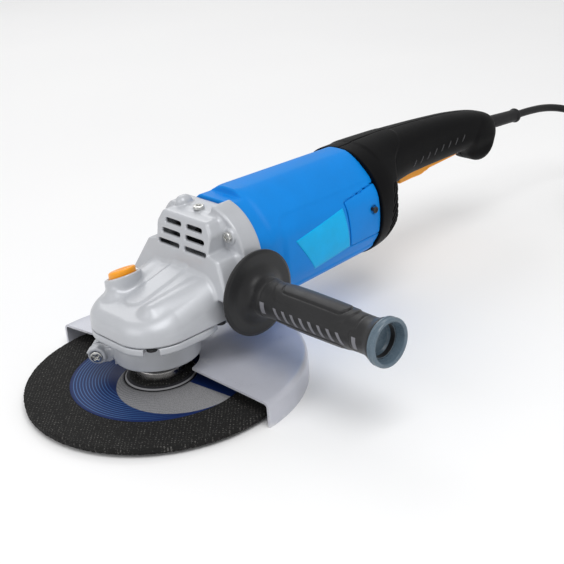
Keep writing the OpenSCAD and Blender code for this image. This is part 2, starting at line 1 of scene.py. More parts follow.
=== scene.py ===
# Angle grinder: the visible surfaces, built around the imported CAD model.
# Shapes are worked out in millimetres in the CAD frame and stored in metres.
import json
import math
import bpy
import bmesh
import numpy as np
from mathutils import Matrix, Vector


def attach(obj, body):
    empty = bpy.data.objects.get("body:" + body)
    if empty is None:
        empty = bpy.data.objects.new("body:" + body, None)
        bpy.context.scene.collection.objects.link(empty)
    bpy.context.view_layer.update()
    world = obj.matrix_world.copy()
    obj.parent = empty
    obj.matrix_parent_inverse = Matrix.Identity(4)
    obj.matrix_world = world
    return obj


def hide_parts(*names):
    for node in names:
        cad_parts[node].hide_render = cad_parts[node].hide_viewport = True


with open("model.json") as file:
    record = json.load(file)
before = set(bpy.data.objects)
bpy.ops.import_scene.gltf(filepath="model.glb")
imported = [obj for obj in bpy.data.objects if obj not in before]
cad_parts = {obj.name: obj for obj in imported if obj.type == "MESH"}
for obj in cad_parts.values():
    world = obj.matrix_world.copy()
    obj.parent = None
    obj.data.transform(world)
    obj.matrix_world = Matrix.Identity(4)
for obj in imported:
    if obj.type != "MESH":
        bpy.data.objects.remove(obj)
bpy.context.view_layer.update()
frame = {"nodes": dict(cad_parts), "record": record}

MM = 0.001
BODY_Z = 92  # centre line of the motor housing
SHAFT_Z = 82  # axis of the armature
GRIP_X, GRIP_Z = 62, 78  # axis of the side handle, which lies along Y
Z_UP = (0, 0, 1)
LOOKS = {}  # each look by name; a CAD material slot wears the look of its own name
NODE_LOOKS = {"armature_shaft": "shaft_steel", "side_handle_stud": "shaft_steel",
              "commutator": "commutator_copper"}

# ---- camera
SENSOR_MM, LENS_MM = 36, 72
EYE = (-0.47846, -0.69297, 0.46689)
RIGHT = (0.71700, -0.69280, -0.07704)
UP = (0.34098, 0.25219, 0.90561)
AHEAD = (0.60798, 0.67559, -0.41705)


def make_camera():
    data = bpy.data.cameras.new("camera")
    data.sensor_width = SENSOR_MM
    data.lens = LENS_MM
    cam = bpy.data.objects.new("camera", data)
    bpy.context.scene.collection.objects.link(cam)
    rows = zip(RIGHT, UP, [-a for a in AHEAD], EYE)
    m = cam.matrix_world.copy()
    for i, row in enumerate(rows):
        m[i] = (*row,)
    cam.matrix_world = m
    bpy.context.scene.camera = cam


# ---- mesh helpers
def add_object(name, data, body, nodes, slot, look=None):
    """A piece that rides on a body, stands for CAD nodes and wears its slot's look or another."""
    ob = bpy.data.objects.new(name, data)
    bpy.context.scene.collection.objects.link(ob)
    data.materials.append(LOOKS[look or slot])
    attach(ob, body)
    if nodes:
        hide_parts(*nodes)
    return ob


def mesh_from(name, verts, faces, smooth=True):
    me = bpy.data.meshes.new(name)
    me.from_pydata([tuple(v) for v in verts], [], [tuple(f) for f in faces])
    me.update()
    if smooth:
        me.polygons.foreach_set("use_smooth", [True] * len(me.polygons))
    return me


def grid(rows, columns, wrap_rows=False, wrap_columns=False):
    """Faces of a net of points that are numbered row by row."""
    faces = []
    for i in range(rows if wrap_rows else rows - 1):
        one, two = i * columns, (i + 1) % rows * columns
        for k in range(columns if wrap_columns else columns - 1):
            q = (k + 1) % columns
            faces.append((one + k, one + q, two + q, two + k))
    return faces


def face_outwards(me, side=0):
    """Turn the faces outwards, or those of an open film to its side, +1 for +Y or -1 for -Y."""
    bm = bmesh.new()
    bm.from_mesh(me)
    bmesh.ops.recalc_face_normals(bm, faces=bm.faces)
    if sum(f.normal.y for f in bm.faces) * side < 0:
        bmesh.ops.reverse_faces(bm, faces=bm.faces)
    bm.to_mesh(me)
    bm.free()


def bevel(ob, width_mm, angle):
    """Round the edges sharper than an angle in degrees."""
    bev = ob.modifiers.new("edges", "BEVEL")
    bev.width = width_mm * MM
    bev.segments = 3
    bev.limit_method = "ANGLE"
    bev.angle_limit = math.radians(angle)
    bev.harden_normals = True


def thicken(ob, thick_mm):
    wall = ob.modifiers.new("wall", "SOLIDIFY")
    wall.thickness = thick_mm * MM
    wall.offset = -1


def rmax(a, b, r=1.0):
    """Intersection of two solids, with the edge between them rounded to r."""
    return np.minimum(np.maximum(a, b), -r) + np.hypot(np.maximum(a + r, 0), np.maximum(b + r, 0))


def rmin(a, b, r=1.0):
    """Union of two solids, with a fillet of radius r between them."""
    return np.maximum(np.minimum(a, b), r) - np.hypot(np.maximum(r - a, 0), np.maximum(r - b, 0))


def rcut(a, b, r=1.0):
    """Solid a without b, with the edge between them rounded to r."""
    return rmax(a, -b, r)


def slab(t, low, high):
    """Layer between two levels of t."""
    return np.maximum(low - t, t - high)


def round_box(u, v, cu, cv, hu, hv, r):
    """Distance to a flat rectangle with round corners."""
    a = np.abs(u - cu) - hu + r
    b = np.abs(v - cv) - hv + r
    return np.minimum(np.maximum(a, b), 0) + np.hypot(np.maximum(a, 0), np.maximum(b, 0)) - r


def line_side(u, v, p, q):
    """Distance to the line through p and q, positive on the right of the way from p to q."""
    du, dv = q[0] - p[0], q[1] - p[1]
    n = math.hypot(du, dv)
    return ((u - p[0]) * dv - (v - p[1]) * du) / n


def convex(u, v, points, r=1.0):
    """Distance to a convex polygon, given anticlockwise, with corners rounded to r."""
    d = None
    for p, q in zip(points, points[1:] + points[:1]):
        e = line_side(u, v, p, q)
        d = e if d is None else rmax(d, e, r)
    return d


def capsule(x, y, z, p, q, r0, r1=None):
    """Rod with round ends from p to q, whose radius goes from r0 to r1."""
    r1 = r0 if r1 is None else r1
    d = np.array(q, float) - np.array(p, float)
    t = ((x - p[0]) * d[0] + (y - p[1]) * d[1] + (z - p[2]) * d[2]) / d.dot(d)
    t = np.clip(t, 0, 1)
    return np.sqrt((x - p[0] - t * d[0]) ** 2 + (y - p[1] - t * d[1]) ** 2
                   + (z - p[2] - t * d[2]) ** 2) - (r0 + (r1 - r0) * t)


def lookup(t, stations):
    """Value at t of a table of (place, value) pairs, straight between its rows."""
    at, value = zip(*stations)
    return np.interp(t, at, value).astype(np.float32)


def smooth_step(t, a, b):
    t = np.clip((t - a) / (b - a), 0, 1)
    return t * t * (3 - 2 * t)


def soft_mask(d, width):
    """1 inside the outline whose distance is d, 0 outside, with an edge about width wide."""
    return 1 / (1 + np.exp(np.clip(d / (width / 4), -30, 30)))


def net(field, low, high, step, passes=3):
    """Surface of a distance field in a box, as one vertex a cell, pulled onto the surface."""
    axes = [np.arange(a - 2 * step, b + 2.5 * step, step, dtype=np.float32) for a, b in zip(low, high)]
    x, y, z = np.meshgrid(*axes, indexing="ij", sparse=True)
    d = np.broadcast_to(field(x, y, z), [len(a) for a in axes]).astype(np.float32)
    inside = d < 0
    shape = d.shape
    stride = (shape[1] * shape[2], shape[2], 1)
    edges = []
    for a in range(3):
        first = tuple(slice(0, -1) if k == a else slice(1, -1) for k in range(3))
        second = tuple(slice(1, None) if k == a else slice(1, -1) for k in range(3))
        hit = np.argwhere(inside[first] != inside[second]) + [0 if k == a else 1 for k in range(3)]
        flat = hit @ stride
        d0, d1 = d.ravel()[flat], d.ravel()[flat + stride[a]]
        where = hit.astype(np.float64)
        where[:, a] += d0 / (d0 - d1)
        edges.append((a, flat, where, inside.ravel()[flat]))
    cells, places = [], []
    for a, flat, where, _ in edges:
        b, c = [k for k in range(3) if k != a]
        for db in (0, stride[b]):
            for dc in (0, stride[c]):
                cells.append(flat - db - dc)
                places.append(where)
    cells = np.concatenate(cells)
    places = np.concatenate(places)
    used, index = np.unique(cells, return_inverse=True)
    count = np.bincount(index)
    verts = np.stack([np.bincount(index, places[:, k]) / count for k in range(3)], 1)
    faces = []
    for a, flat, _, start_inside in edges:
        b, c = (a + 1) % 3, (a + 2) % 3
        quad = np.stack([flat, flat - stride[b], flat - stride[b] - stride[c], flat - stride[c]], 1)
        quad[~start_inside] = quad[~start_inside][:, ::-1]
        faces.append(np.searchsorted(used, quad))
    faces = np.concatenate(faces)
    verts = verts * step + np.array([a[0] for a in axes])

    def value(v):
        return np.asarray(field(v[:, 0], v[:, 1], v[:, 2]), float)

    pairs = np.concatenate([faces[:, [0, 1]], faces[:, [1, 2]], faces[:, [2, 3]], faces[:, [3, 0]]])
    degree = np.bincount(pairs[:, 0], minlength=len(verts))[:, None]
    for turn in range(passes):
        if turn:
            total = np.stack([np.bincount(pairs[:, 0], verts[pairs[:, 1], k], len(verts)) for k in range(3)], 1)
            verts = verts * 0.5 + 0.5 * total / np.maximum(degree, 1)
        for _ in range(2):
            e = 0.05 * step
            here = value(verts)
            slope = np.stack([value(verts + e * np.eye(3)[k]) - value(verts - e * np.eye(3)[k])
                              for k in range(3)], 1) / (2 * e)
            size = np.maximum((slope ** 2).sum(1), 0.2)
            move = (np.clip(here, -step, step) / size)[:, None] * slope
            verts = verts - move
    return verts, faces


def carve(name, field, low, high, step, *piece):
    """Piece whose surface is that of a distance field; piece is what add_object takes from body on."""
    verts, faces = net(field, low, high, step)
    return add_object(name, mesh_from(name, verts * MM, faces.tolist()), *piece)


def lathe(name, profile, centre, axis, steps, round_off, *piece):
    """Turned piece: profile is a closed list of (radius, height along axis)."""
    w = Vector(axis).normalized()
    u = w.orthogonal().normalized()
    v = w.cross(u)
    verts = []
    for k in range(steps):
        a = 2 * math.pi * k / steps
        out = u * math.cos(a) + v * math.sin(a)
        verts += [(Vector(centre) + out * r + w * h) * MM for r, h in profile]
    me = mesh_from(name, verts, grid(steps, len(profile), True, True))
    face_outwards(me)
    ob = add_object(name, me, *piece)
    if round_off:
        bevel(ob, round_off, 28)


# ---- materials
class Look:
    """A principled material with helpers for procedural detail in object space."""

    def __init__(self, name, rough=0.45, metal=0.0, coat=0.0, sheen=0.0, specular=0.5):
        LOOKS[name] = self.m = bpy.data.materials.new(name)
        self.m.use_nodes = True
        self.t = self.m.node_tree
        self.t.nodes.clear()
        self.out = self.t.nodes.new("ShaderNodeOutputMaterial")
        self.b = self.t.nodes.new("ShaderNodeBsdfPrincipled")
        self.t.links.new(self.b.outputs[0], self.out.inputs[0])
        for socket, value in (("Roughness", rough), ("Metallic", metal), ("Coat Weight", coat),
                              ("Coat Roughness", 0.15), ("Sheen Weight", sheen), ("Specular IOR Level", specular)):
            self.b.inputs[socket].default_value = value
        self.where = self.node("ShaderNodeTexCoord").outputs["Object"]

    def node(self, kind, **values):
        n = self.t.nodes.new(kind)
        for k, v in values.items():
            setattr(n, k, v)
        return n

    def wire(self, source, target):
        if isinstance(source, (int, float)):
            target.default_value = source
        elif isinstance(source, (tuple, list)):
            target.default_value = (*source, 1.0) if len(source) == 3 and target.type == "RGBA" else source
        else:
            self.t.links.new(source, target)

    def math(self, op, *args):
        n = self.node("ShaderNodeMath", operation=op)
        for i, a in enumerate(args):
            self.wire(a, n.inputs[i])
        return n.outputs[0]

    def times(self, first, *others):
        for value in others:
            first = self.math("MULTIPLY", first, value)
        return first

    def length(self, x, y):
        return self.math("SQRT", self.math("ADD", self.times(x, x), self.times(y, y)))

    def ripple(self, value, pitch):
        return self.math("SINE", self.times(value, 2 * math.pi / pitch))

    def texture(self, kind, size_mm, place, stretch=(1, 1, 1)):
        m = self.node("ShaderNodeMapping")
        m.inputs["Location"].default_value = place
        m.inputs["Scale"].default_value = stretch
        self.wire(self.where, m.inputs["Vector"])
        n = self.node(kind)
        self.wire(m.outputs[0], n.inputs["Vector"])
        n.inputs["Scale"].default_value = 1000.0 / size_mm
        return n

    def noise(self, size_mm, detail=3.0, rough=0.5, stretch=(1, 1, 1), seed=0.0):
        n = self.texture("ShaderNodeTexNoise", size_mm, (seed, seed * 0.7, -seed), stretch)
        n.inputs["Detail"].default_value = detail
        n.inputs["Roughness"].default_value = rough
        return n.outputs["Fac"]

    def cells(self, size_mm, seed):
        return self.texture("ShaderNodeTexVoronoi", size_mm, (seed, seed, seed)).outputs["Distance"]

    def axes(self):
        n = self.node("ShaderNodeSeparateXYZ")
        self.wire(self.where, n.inputs[0])
        return n.outputs

    def span(self, value, a, b, c=0.0, d=1.0):
        """Value from a to b, mapped to c to d and clamped."""
        n = self.node("ShaderNodeMapRange")
        self.wire(value, n.inputs["Value"])
        for k, v in zip(("From Min", "From Max", "To Min", "To Max"), (a, b, c, d)):
            n.inputs[k].default_value = v
        return n.outputs["Result"]

    def mix(self, fac, a, b):
        n = self.node("ShaderNodeMix", data_type="RGBA")
        for value, socket in ((fac, 0), (a, 6), (b, 7)):
            self.wire(value, n.inputs[socket])
        return n.outputs[2]

    def colour(self, value):
        self.wire(value, self.b.inputs["Base Color"])

    def done(self, colour, rough, height, mm, strength):
        """Wire colour, roughness and a relief with a depth in mm."""
        self.colour(colour)
        self.wire(rough, self.b.inputs["Roughness"])
        n = self.node("ShaderNodeBump")
        n.inputs["Distance"].default_value = mm * MM
        n.inputs["Strength"].default_value = strength
        self.wire(height, n.inputs["Height"])
        self.wire(n.outputs[0], self.b.inputs["Normal"])


def shade(c, k):
    return tuple(min(1.0, v * k) for v in c)


def plain_look(name, colour, rough=0.45, metal=0.0, grain_mm=0.6, grain=0.3, blotch_mm=25.0, vary=0.12,
               bump_mm=0.05, wear=None, **more):
    """Moulded, painted or machined surface: blotches, fine grain in colour, gloss and height."""
    k = Look(name, rough, metal, **more)
    big = k.noise(blotch_mm, 4.0, 0.6, seed=1.3)
    fine = k.noise(grain_mm, 3.0, 0.6, seed=2.1)
    c = k.mix(k.span(big, 0.3, 0.7), shade(colour, 1 - vary), shade(colour, 1 + vary))
    c = k.mix(k.span(fine, 0.35, 0.65, 0.0, grain), c, shade(colour, 0.72))
    if wear is not None:
        geo = k.node("ShaderNodeNewGeometry")
        edge = k.span(geo.outputs["Pointiness"], 0.53, 0.6)
        patch = k.span(k.noise(6.0, 5.0, 0.7, seed=4.0), 0.45, 0.62)
        c = k.mix(k.times(edge, patch, 0.8), c, wear)
    gloss = k.math("ADD", k.span(fine, 0.3, 0.7, rough - 0.06, rough + 0.06), k.span(big, 0.3, 0.7, -0.04, 0.05))
    k.done(c, gloss, fine, bump_mm, 0.6)


# ---- cord and plug
CORD_EXIT = (504, 0, 103)
CORD_R = 4
LEAD = [(504, 0, 103), (520, 0, 102), (536, 0, 100.5), (552, -1, 98.5), (568, -4, 95.5), (583, -9, 91),
        (597, -17, 84.5), (609, -27, 76), (618, -38, 65.5), (625, -50, 53.5), (630, -62, 41),
        (633, -74, 29), (635, -87, 17.5), (636, -101, 8.5), (636, -110, 5), (636, -118, 4)]
TAIL = [(636, -133, 27.5), (635, -148, 25.5), (633, -163, 22.5), (631, -178, 20.5)]
COIL_CENTRE = (580, -118)
COIL_TURNS = [(r, 4 + 8 * layer) for layer in range(4)
              for r in ((56, 48, 40) if layer % 2 == 0 else (40, 48, 56))]
TURN_POINTS = 44
COIL_END = (636, -118, 28)


def coil_points():
    pts = []
    for k, (r, h) in enumerate(COIL_TURNS):
        r2, h2 = COIL_TURNS[min(k + 1, len(COIL_TURNS) - 1)]
        for i in range(TURN_POINTS):
            t = (i + 1) / TURN_POINTS
            s = smooth_step(t, 0.78, 1)
            a = -2 * math.pi * t
            q = r + (r2 - r) * s
            pts.append((COIL_CENTRE[0] + q * math.cos(a), COIL_CENTRE[1] + q * math.sin(a), h + (h2 - h) * s))
    return pts


def smooth_line(points, parts):
    """Catmull-Rom line through the points."""
    p = [Vector(q) for q in points]
    p = [p[0] * 2 - p[1]] + p + [p[-1] * 2 - p[-2]]
    line = []
    for i in range(1, len(p) - 2):
        for k in range(parts):
            t = k / parts
            a, b, c, d = p[i - 1:i + 3]
            line.append(0.5 * ((2 * b) + (c - a) * t + (2 * a - 5 * b + 4 * c - d) * t * t
                               + (3 * b - a - 3 * c + d) * t ** 3))
    return line + [p[-2]]


def make_cord():
    route = (smooth_line(LEAD, 4) + [Vector(q) for q in coil_points()]
             + smooth_line([COIL_END] + TAIL, 4)[1:])
    curve = bpy.data.curves.new("mains_cord", "CURVE")
    curve.dimensions = "3D"
    spline = curve.splines.new("POLY")
    spline.points.add(len(route) - 1)
    for point, q in zip(spline.points, route):
        point.co = (*(q * MM), 1)
    curve.bevel_depth = CORD_R * MM
    curve.bevel_resolution = 5
    curve.use_fill_caps = True
    return add_object("mains_cord", curve, "root", ("cord", "cord_coil"), "cord_rubber")


def make_plug():
    def field(x, y, z):
        u, w = x - 631, z - 20.5
        along = -178 - y
        ribs = 0.5 * np.cos(along * 2 * math.pi / 5) * (along < 22)
        boot = rmax(np.hypot(u, w) - (6.3 + 0.12 * along + ribs), slab(along, 0.4, 26), 0.8)
        neck = rmax(np.hypot(u, w) - (11 + 0.75 * (along - 24)), slab(along, 23, 36), 2)
        body = rmax(np.hypot(u, w) - 18.3, slab(along, 33, 59.8), 1.5)
        d = rmin(rmin(boot, neck, 2.5), body, 3)
        flat = np.abs(u) - 15.6 + 0.012 * (along - 46) ** 2
        d = rmax(d, np.where(along > 30, flat, -50.0), 1.5)
        grips = np.abs(np.mod(along - 38, 4) - 2) - 0.7
        return rcut(d, np.maximum(np.maximum(grips, slab(along, 38, 54)), 14.4 - np.abs(u)), 0.5)

    return carve("mains_plug", field, (611, -240, 0), (651, -177, 41), 1.0, "root", ("plug_body",),
                 "black_plastic")


# ---- studio
LIT_POINT = (0.15, 0, 0.06)


def make_studio():
    me = bpy.data.meshes.new("floor")
    me.from_pydata([(-6, -6, 0), (8, -6, 0), (8, 8, 0), (-6, 8, 0)], [], [(0, 1, 2, 3)])
    floor = bpy.data.objects.new("floor", me)
    bpy.context.scene.collection.objects.link(floor)
    k = Look("floor", 0.65, specular=0.2)
    k.colour(k.mix(k.noise(400, 2), (0.9, 0.9, 0.905), (0.94, 0.94, 0.94)))
    me.materials.append(k.m)
    world = bpy.data.worlds.new("studio")
    world.use_nodes = True
    sky = world.node_tree.nodes["Background"].inputs
    sky["Color"].default_value = (1, 1, 1, 1)
    sky["Strength"].default_value = 0.6
    bpy.context.scene.world = world
    for name, at, size, power in (
        ("key", (-0.2, -0.9, 2.0), 1.3, 20),
        ("left", (-1.8, 0.2, 1.2), 1.4, 9),
        ("back", (0.9, 1.6, 1.5), 1.2, 8),
    ):
        lamp = bpy.data.lights.new(name, "AREA")
        lamp.size = size
        lamp.energy = power
        ob = bpy.data.objects.new(name, lamp)
        ob.location = at
        ob.rotation_euler = (Vector(LIT_POINT) - Vector(at)).to_track_quat("-Z", "Y").to_euler()
        bpy.context.scene.collection.objects.link(ob)
    bpy.context.scene.view_settings.view_transform = "Standard"
    bpy.context.scene.view_settings.exposure = 0.0


def label_look():
    """Printed ring: deep blue with thin light rings, and an off-centre grainy grey field."""
    k = Look("disc_print", 0.5, specular=0.15)
    x, y = k.axes()[:2]
    r = k.length(x, y)
    dx, dy = k.math("SUBTRACT", x, 0.0043), k.math("ADD", y, 0.0226)
    r2 = k.length(dx, dy)
    grain = k.noise(0.9, 3.0, 0.7, seed=3.0)
    speck = k.cells(1.3, seed=5.0)
    blue = k.mix(k.span(grain, 0.3, 0.7), (0.004, 0.012, 0.062), (0.008, 0.025, 0.115))
    lines = k.span(k.ripple(r, 0.0026), 0.45, 0.9)
    band = k.times(k.span(r, 0.042, 0.047), k.span(r, 0.0755, 0.0735))
    side = k.span(k.math("ADD", x, k.times(y, -0.35)), -0.012, -0.05)
    blue = k.mix(k.times(lines, band, side, 0.75), blue, (0.06, 0.16, 0.37))
    grey = k.mix(k.span(grain, 0.3, 0.7), (0.16, 0.16, 0.165), (0.33, 0.33, 0.34))
    grey = k.mix(k.span(speck, 0.0, 0.35), (0.09, 0.09, 0.1), grey)
    grey = k.mix(k.times(lines, k.span(x, -0.015, -0.04), 0.5), grey, (0.07, 0.08, 0.1))
    cut = k.span(k.math("ADD", x, k.times(y, 0.12)), 0.0016, 0.0022)
    inside = k.times(k.span(r2, 0.0548, 0.0542), k.math("SUBTRACT", 1.0, cut))
    k.done(k.mix(inside, blue, grey), k.span(grain, 0.3, 0.7, 0.38, 0.58),
           k.math("ADD", grain, k.times(speck, 0.6)), 0.08, 0.5)


def hub_look():
    """Printed hub: dark, with two thin light circles."""
    k = Look("hub_print", 0.5, specular=0.2)
    x, y = k.axes()[:2]
    r = k.length(x, y)
    grain = k.noise(0.7, 3.0, 0.6, seed=7.0)
    base = k.mix(k.span(grain, 0.3, 0.7), (0.012, 0.012, 0.014), (0.035, 0.035, 0.04))
    outer = k.times(k.span(r, 0.0288, 0.0291), k.span(r, 0.0303, 0.03))
    inner = k.times(k.span(r, 0.0222, 0.0224), k.span(r, 0.0231, 0.0229))
    c = k.mix(k.times(k.math("ADD", outer, inner), 0.55), base, (0.5, 0.5, 0.52))
    k.done(c, k.span(grain, 0.3, 0.7, 0.4, 0.6), grain, 0.05, 0.4)


def abrasive_look():
    """Resin-bonded grit over glass-fibre mesh."""
    k = Look("abrasive", 0.75, specular=0.15)
    grit = k.cells(0.8, seed=1.0)
    fine = k.noise(0.5, 4.0, 0.7, seed=2.0)
    u, v = (k.ripple(a, 0.0036) for a in k.axes()[:2])
    weave = k.span(k.times(u, v), 0.35, 0.95)
    base = k.mix(k.span(fine, 0.3, 0.75), (0.006, 0.006, 0.006), (0.022, 0.0215, 0.021))
    sparkle = k.times(weave, k.span(k.noise(1.6, 2.0, 0.5, seed=9.0), 0.45, 0.7), 0.9)
    base = k.mix(sparkle, base, (0.17, 0.165, 0.155))
    bits = k.span(k.cells(1.7, seed=4.0), 0.16, 0.08)
    k.done(k.mix(k.times(bits, 0.5), base, (0.3, 0.3, 0.29)), k.span(fine, 0.3, 0.7, 0.6, 0.9),
           k.math("ADD", k.times(grit, 0.7), fine), 0.3, 0.8)


AROUND_X, AROUND_Z = (36, 1, 1), (1, 1, 36)  # stretches for tool marks around an axis


def brushed_look(name, colour, rough, stretch=AROUND_Z):
    """Turned metal with fine tool marks."""
    k = Look(name, rough, 1.0)
    marks = k.noise(9.0, 3.0, 0.6, stretch, seed=1.0)
    stain = k.noise(7.0, 4.0, 0.6, seed=2.0)
    c = k.mix(k.span(stain, 0.3, 0.75), colour, shade(colour, 0.72))
    c = k.mix(k.span(marks, 0.35, 0.65, 0.0, 0.35), c, shade(colour, 0.6))
    gloss = k.math("ADD", k.span(marks, 0.3, 0.7, rough - 0.05, rough + 0.08), k.span(stain, 0.4, 0.8, 0, 0.06))
    k.done(c, gloss, marks, 0.02, 0.5)


def copper_look(colour=(0.72, 0.30, 0.12)):
    """Varnished copper wire laid in turns."""
    k = Look("copper", 0.35, 0.9)
    wave = k.node("ShaderNodeTexWave", wave_type="BANDS", bands_direction="DIAGONAL")
    k.wire(k.where, wave.inputs["Vector"])
    wave.inputs["Scale"].default_value = 1000.0 / 0.9 / 6
    wave.inputs["Distortion"].default_value = 0.8
    turns = wave.outputs["Fac"]
    k.done(k.mix(turns, shade(colour, 0.3), colour), k.span(k.noise(4), 0.3, 0.7, 0.25, 0.5), turns, 0.3, 0.8)


def laminated_look(colour=(0.36, 0.36, 0.38)):
    """Stacked steel sheets seen edge on."""
    k = Look("lamination_steel", 0.5, 0.85)
    lines = k.span(k.ripple(k.axes()[0], 0.0007), -0.2, 0.6)
    rust = k.noise(5, 5, 0.7, seed=3)
    c = k.mix(lines, shade(colour, 0.45), colour)
    c = k.mix(k.span(rust, 0.55, 0.75, 0, 0.35), c, (0.16, 0.08, 0.05))
    k.done(c, k.span(rust, 0.3, 0.7, 0.4, 0.65), lines, 0.1, 0.6)


def make_looks():
    plain_look("cord_rubber", (0.008, 0.008, 0.009), 0.5, specular=0.3, grain_mm=0.8, bump_mm=0.06,
               vary=0.2)
    plain_look("black_plastic", (0.0025, 0.0025, 0.003), 0.52, specular=0.1, grain_mm=0.7,
               bump_mm=0.09, vary=0.15)
    plain_look("plated_brass", (0.75, 0.66, 0.45), 0.25, 1.0, grain_mm=0.5, vary=0.06)
    plain_look("cast_alloy", (0.50, 0.515, 0.545), 0.38, 0.2, grain_mm=0.55, grain=0.12, blotch_mm=30,
               vary=0.04, bump_mm=0.035, wear=(0.72, 0.72, 0.73), coat=0.25)
    plain_look("guard_paint", (0.52, 0.53, 0.59), 0.34, 0.15, grain_mm=0.7, grain=0.10, blotch_mm=40,
               vary=0.05, bump_mm=0.03, wear=(0.66, 0.66, 0.68), coat=0.3)
    # painted highlight: the handle's ribs wear a lighter copy of the black plastic, standing in for light on their
    # crests
    plain_look("black_plastic_rib_painted_highlight", (0.03, 0.03, 0.034), 0.4, grain_mm=0.5, vary=0.1)
    plain_look("blue_plastic", (0.0, 0.228, 0.71), 0.48, specular=0.18, grain_mm=0.5, grain=0.10,
               blotch_mm=35, vary=0.05, bump_mm=0.03, coat=0.04)
    plain_look("sticker_film", (0.0, 0.43, 0.84), 0.45, specular=0.15, grain_mm=0.8, grain=0.06,
               blotch_mm=18, vary=0.06, bump_mm=0.01, coat=0.1)
    plain_look("orange_plastic", (0.95, 0.36, 0.006), 0.38, grain_mm=0.45, grain=0.12, blotch_mm=9,
               vary=0.06, bump_mm=0.03, coat=0.1)
    plain_look("grip_rubber", (0.008, 0.008, 0.009), 0.42, specular=0.35, grain_mm=0.8, grain=0.4,
               blotch_mm=14, vary=0.25, bump_mm=0.07, sheen=0.15)
    plain_look("grey_inlay", (0.19, 0.19, 0.21), 0.5, grain_mm=0.6, vary=0.08)
    plain_look("grey_plastic", (0.10, 0.145, 0.185), 0.28, grain_mm=0.5, grain=0.15, blotch_mm=10,
               vary=0.08, bump_mm=0.03, coat=0.04)
    abrasive_look()
    label_look()
    hub_look()
    brushed_look("machined_steel", (0.80, 0.78, 0.74), 0.24)
    brushed_look("bearing_steel", (0.62, 0.62, 0.63), 0.2)
    plain_look("zinc_steel", (0.68, 0.68, 0.66), 0.24, 1.0, grain_mm=0.6, grain=0.25, blotch_mm=3,
               vary=0.12, bump_mm=0.02)
    brushed_look("gear_steel", (0.34, 0.34, 0.36), 0.34)
    brushed_look("shaft_steel", (0.6, 0.6, 0.61), 0.25, AROUND_X)
    plain_look("seal_rubber", (0.02, 0.02, 0.022), 0.6, grain_mm=0.5, vary=0.2)
    plain_look("fan_plastic", (0.03, 0.032, 0.036), 0.4, grain_mm=0.5, vary=0.15)
    laminated_look()
    copper_look()
    brushed_look("commutator_copper", (0.75, 0.42, 0.24), 0.28, AROUND_X)
    plain_look("brass", (0.76, 0.56, 0.26), 0.3, 1.0, grain_mm=0.5, vary=0.08)
    plain_look("carbon", (0.02, 0.02, 0.021), 0.7, grain_mm=0.3, vary=0.25)
    plain_look("white_plastic", (0.72, 0.72, 0.70), 0.4, grain_mm=0.5, vary=0.04)
    plain_look("capacitor_film", (0.72, 0.55, 0.12), 0.3, grain_mm=0.7, vary=0.06, coat=0.3)


# ---- gear head
SEAM_Z = 59
FLANGE_SCREWS = [(-29, -34), (-29, 34), (36, -42), (36, 42)]
BOSS_AT = (-4, 30)  # axis of the lock button, whose boss has a slanted mouth
BOSS_TILT = math.radians(21)
SLOT_ROWS = [(109, 30.7), (118, 27.1), (127, 23.5)]  # air slots: level, outer end
UPPER_SCREW, LOWER_SCREW, TOP_SCREW = (56.9, 38.5, 123.4), (53, 35, 52), (60, 0, 138.4)
CLAMP_ANGLE = math.radians(128.6)  # where the guard's clamp stands around the spindle
CLAMP_R, CLAMP_Z, HOOD_OUT = 50, 31, 8.6  # its screw, and how far the head sits from the middle


def head_plan(x, y, inset=0.0, back=60):
    """Outline of the head seen from above, from its nose to back."""
    return round_box(x, y, (back - 45) / 2, 0, (back + 45) / 2 - inset, 50 - inset, 36 - inset)


def vent_block(x, y, z, inset=0.0, r=2.5):
    """Block that leans back and narrows upwards, on top of the head."""
    front = -line_side(x, z, (34 + inset, 99), (43.5 + inset, 137))
    sides = line_side(np.abs(y), z, (49 - inset, 103), (28.5 - inset, 137))
    d = rmax(front, sides, r)
    d = rmax(d, z - 137 + inset, r)
    return rmax(rmax(d, x - 62, r), 80 - z, 1)


def slanted(y, z, level):
    """Height above the slanted mouth of the lock button's boss."""
    return (z - level) * math.cos(BOSS_TILT) + (y - BOSS_AT[1]) * math.sin(BOSS_TILT)


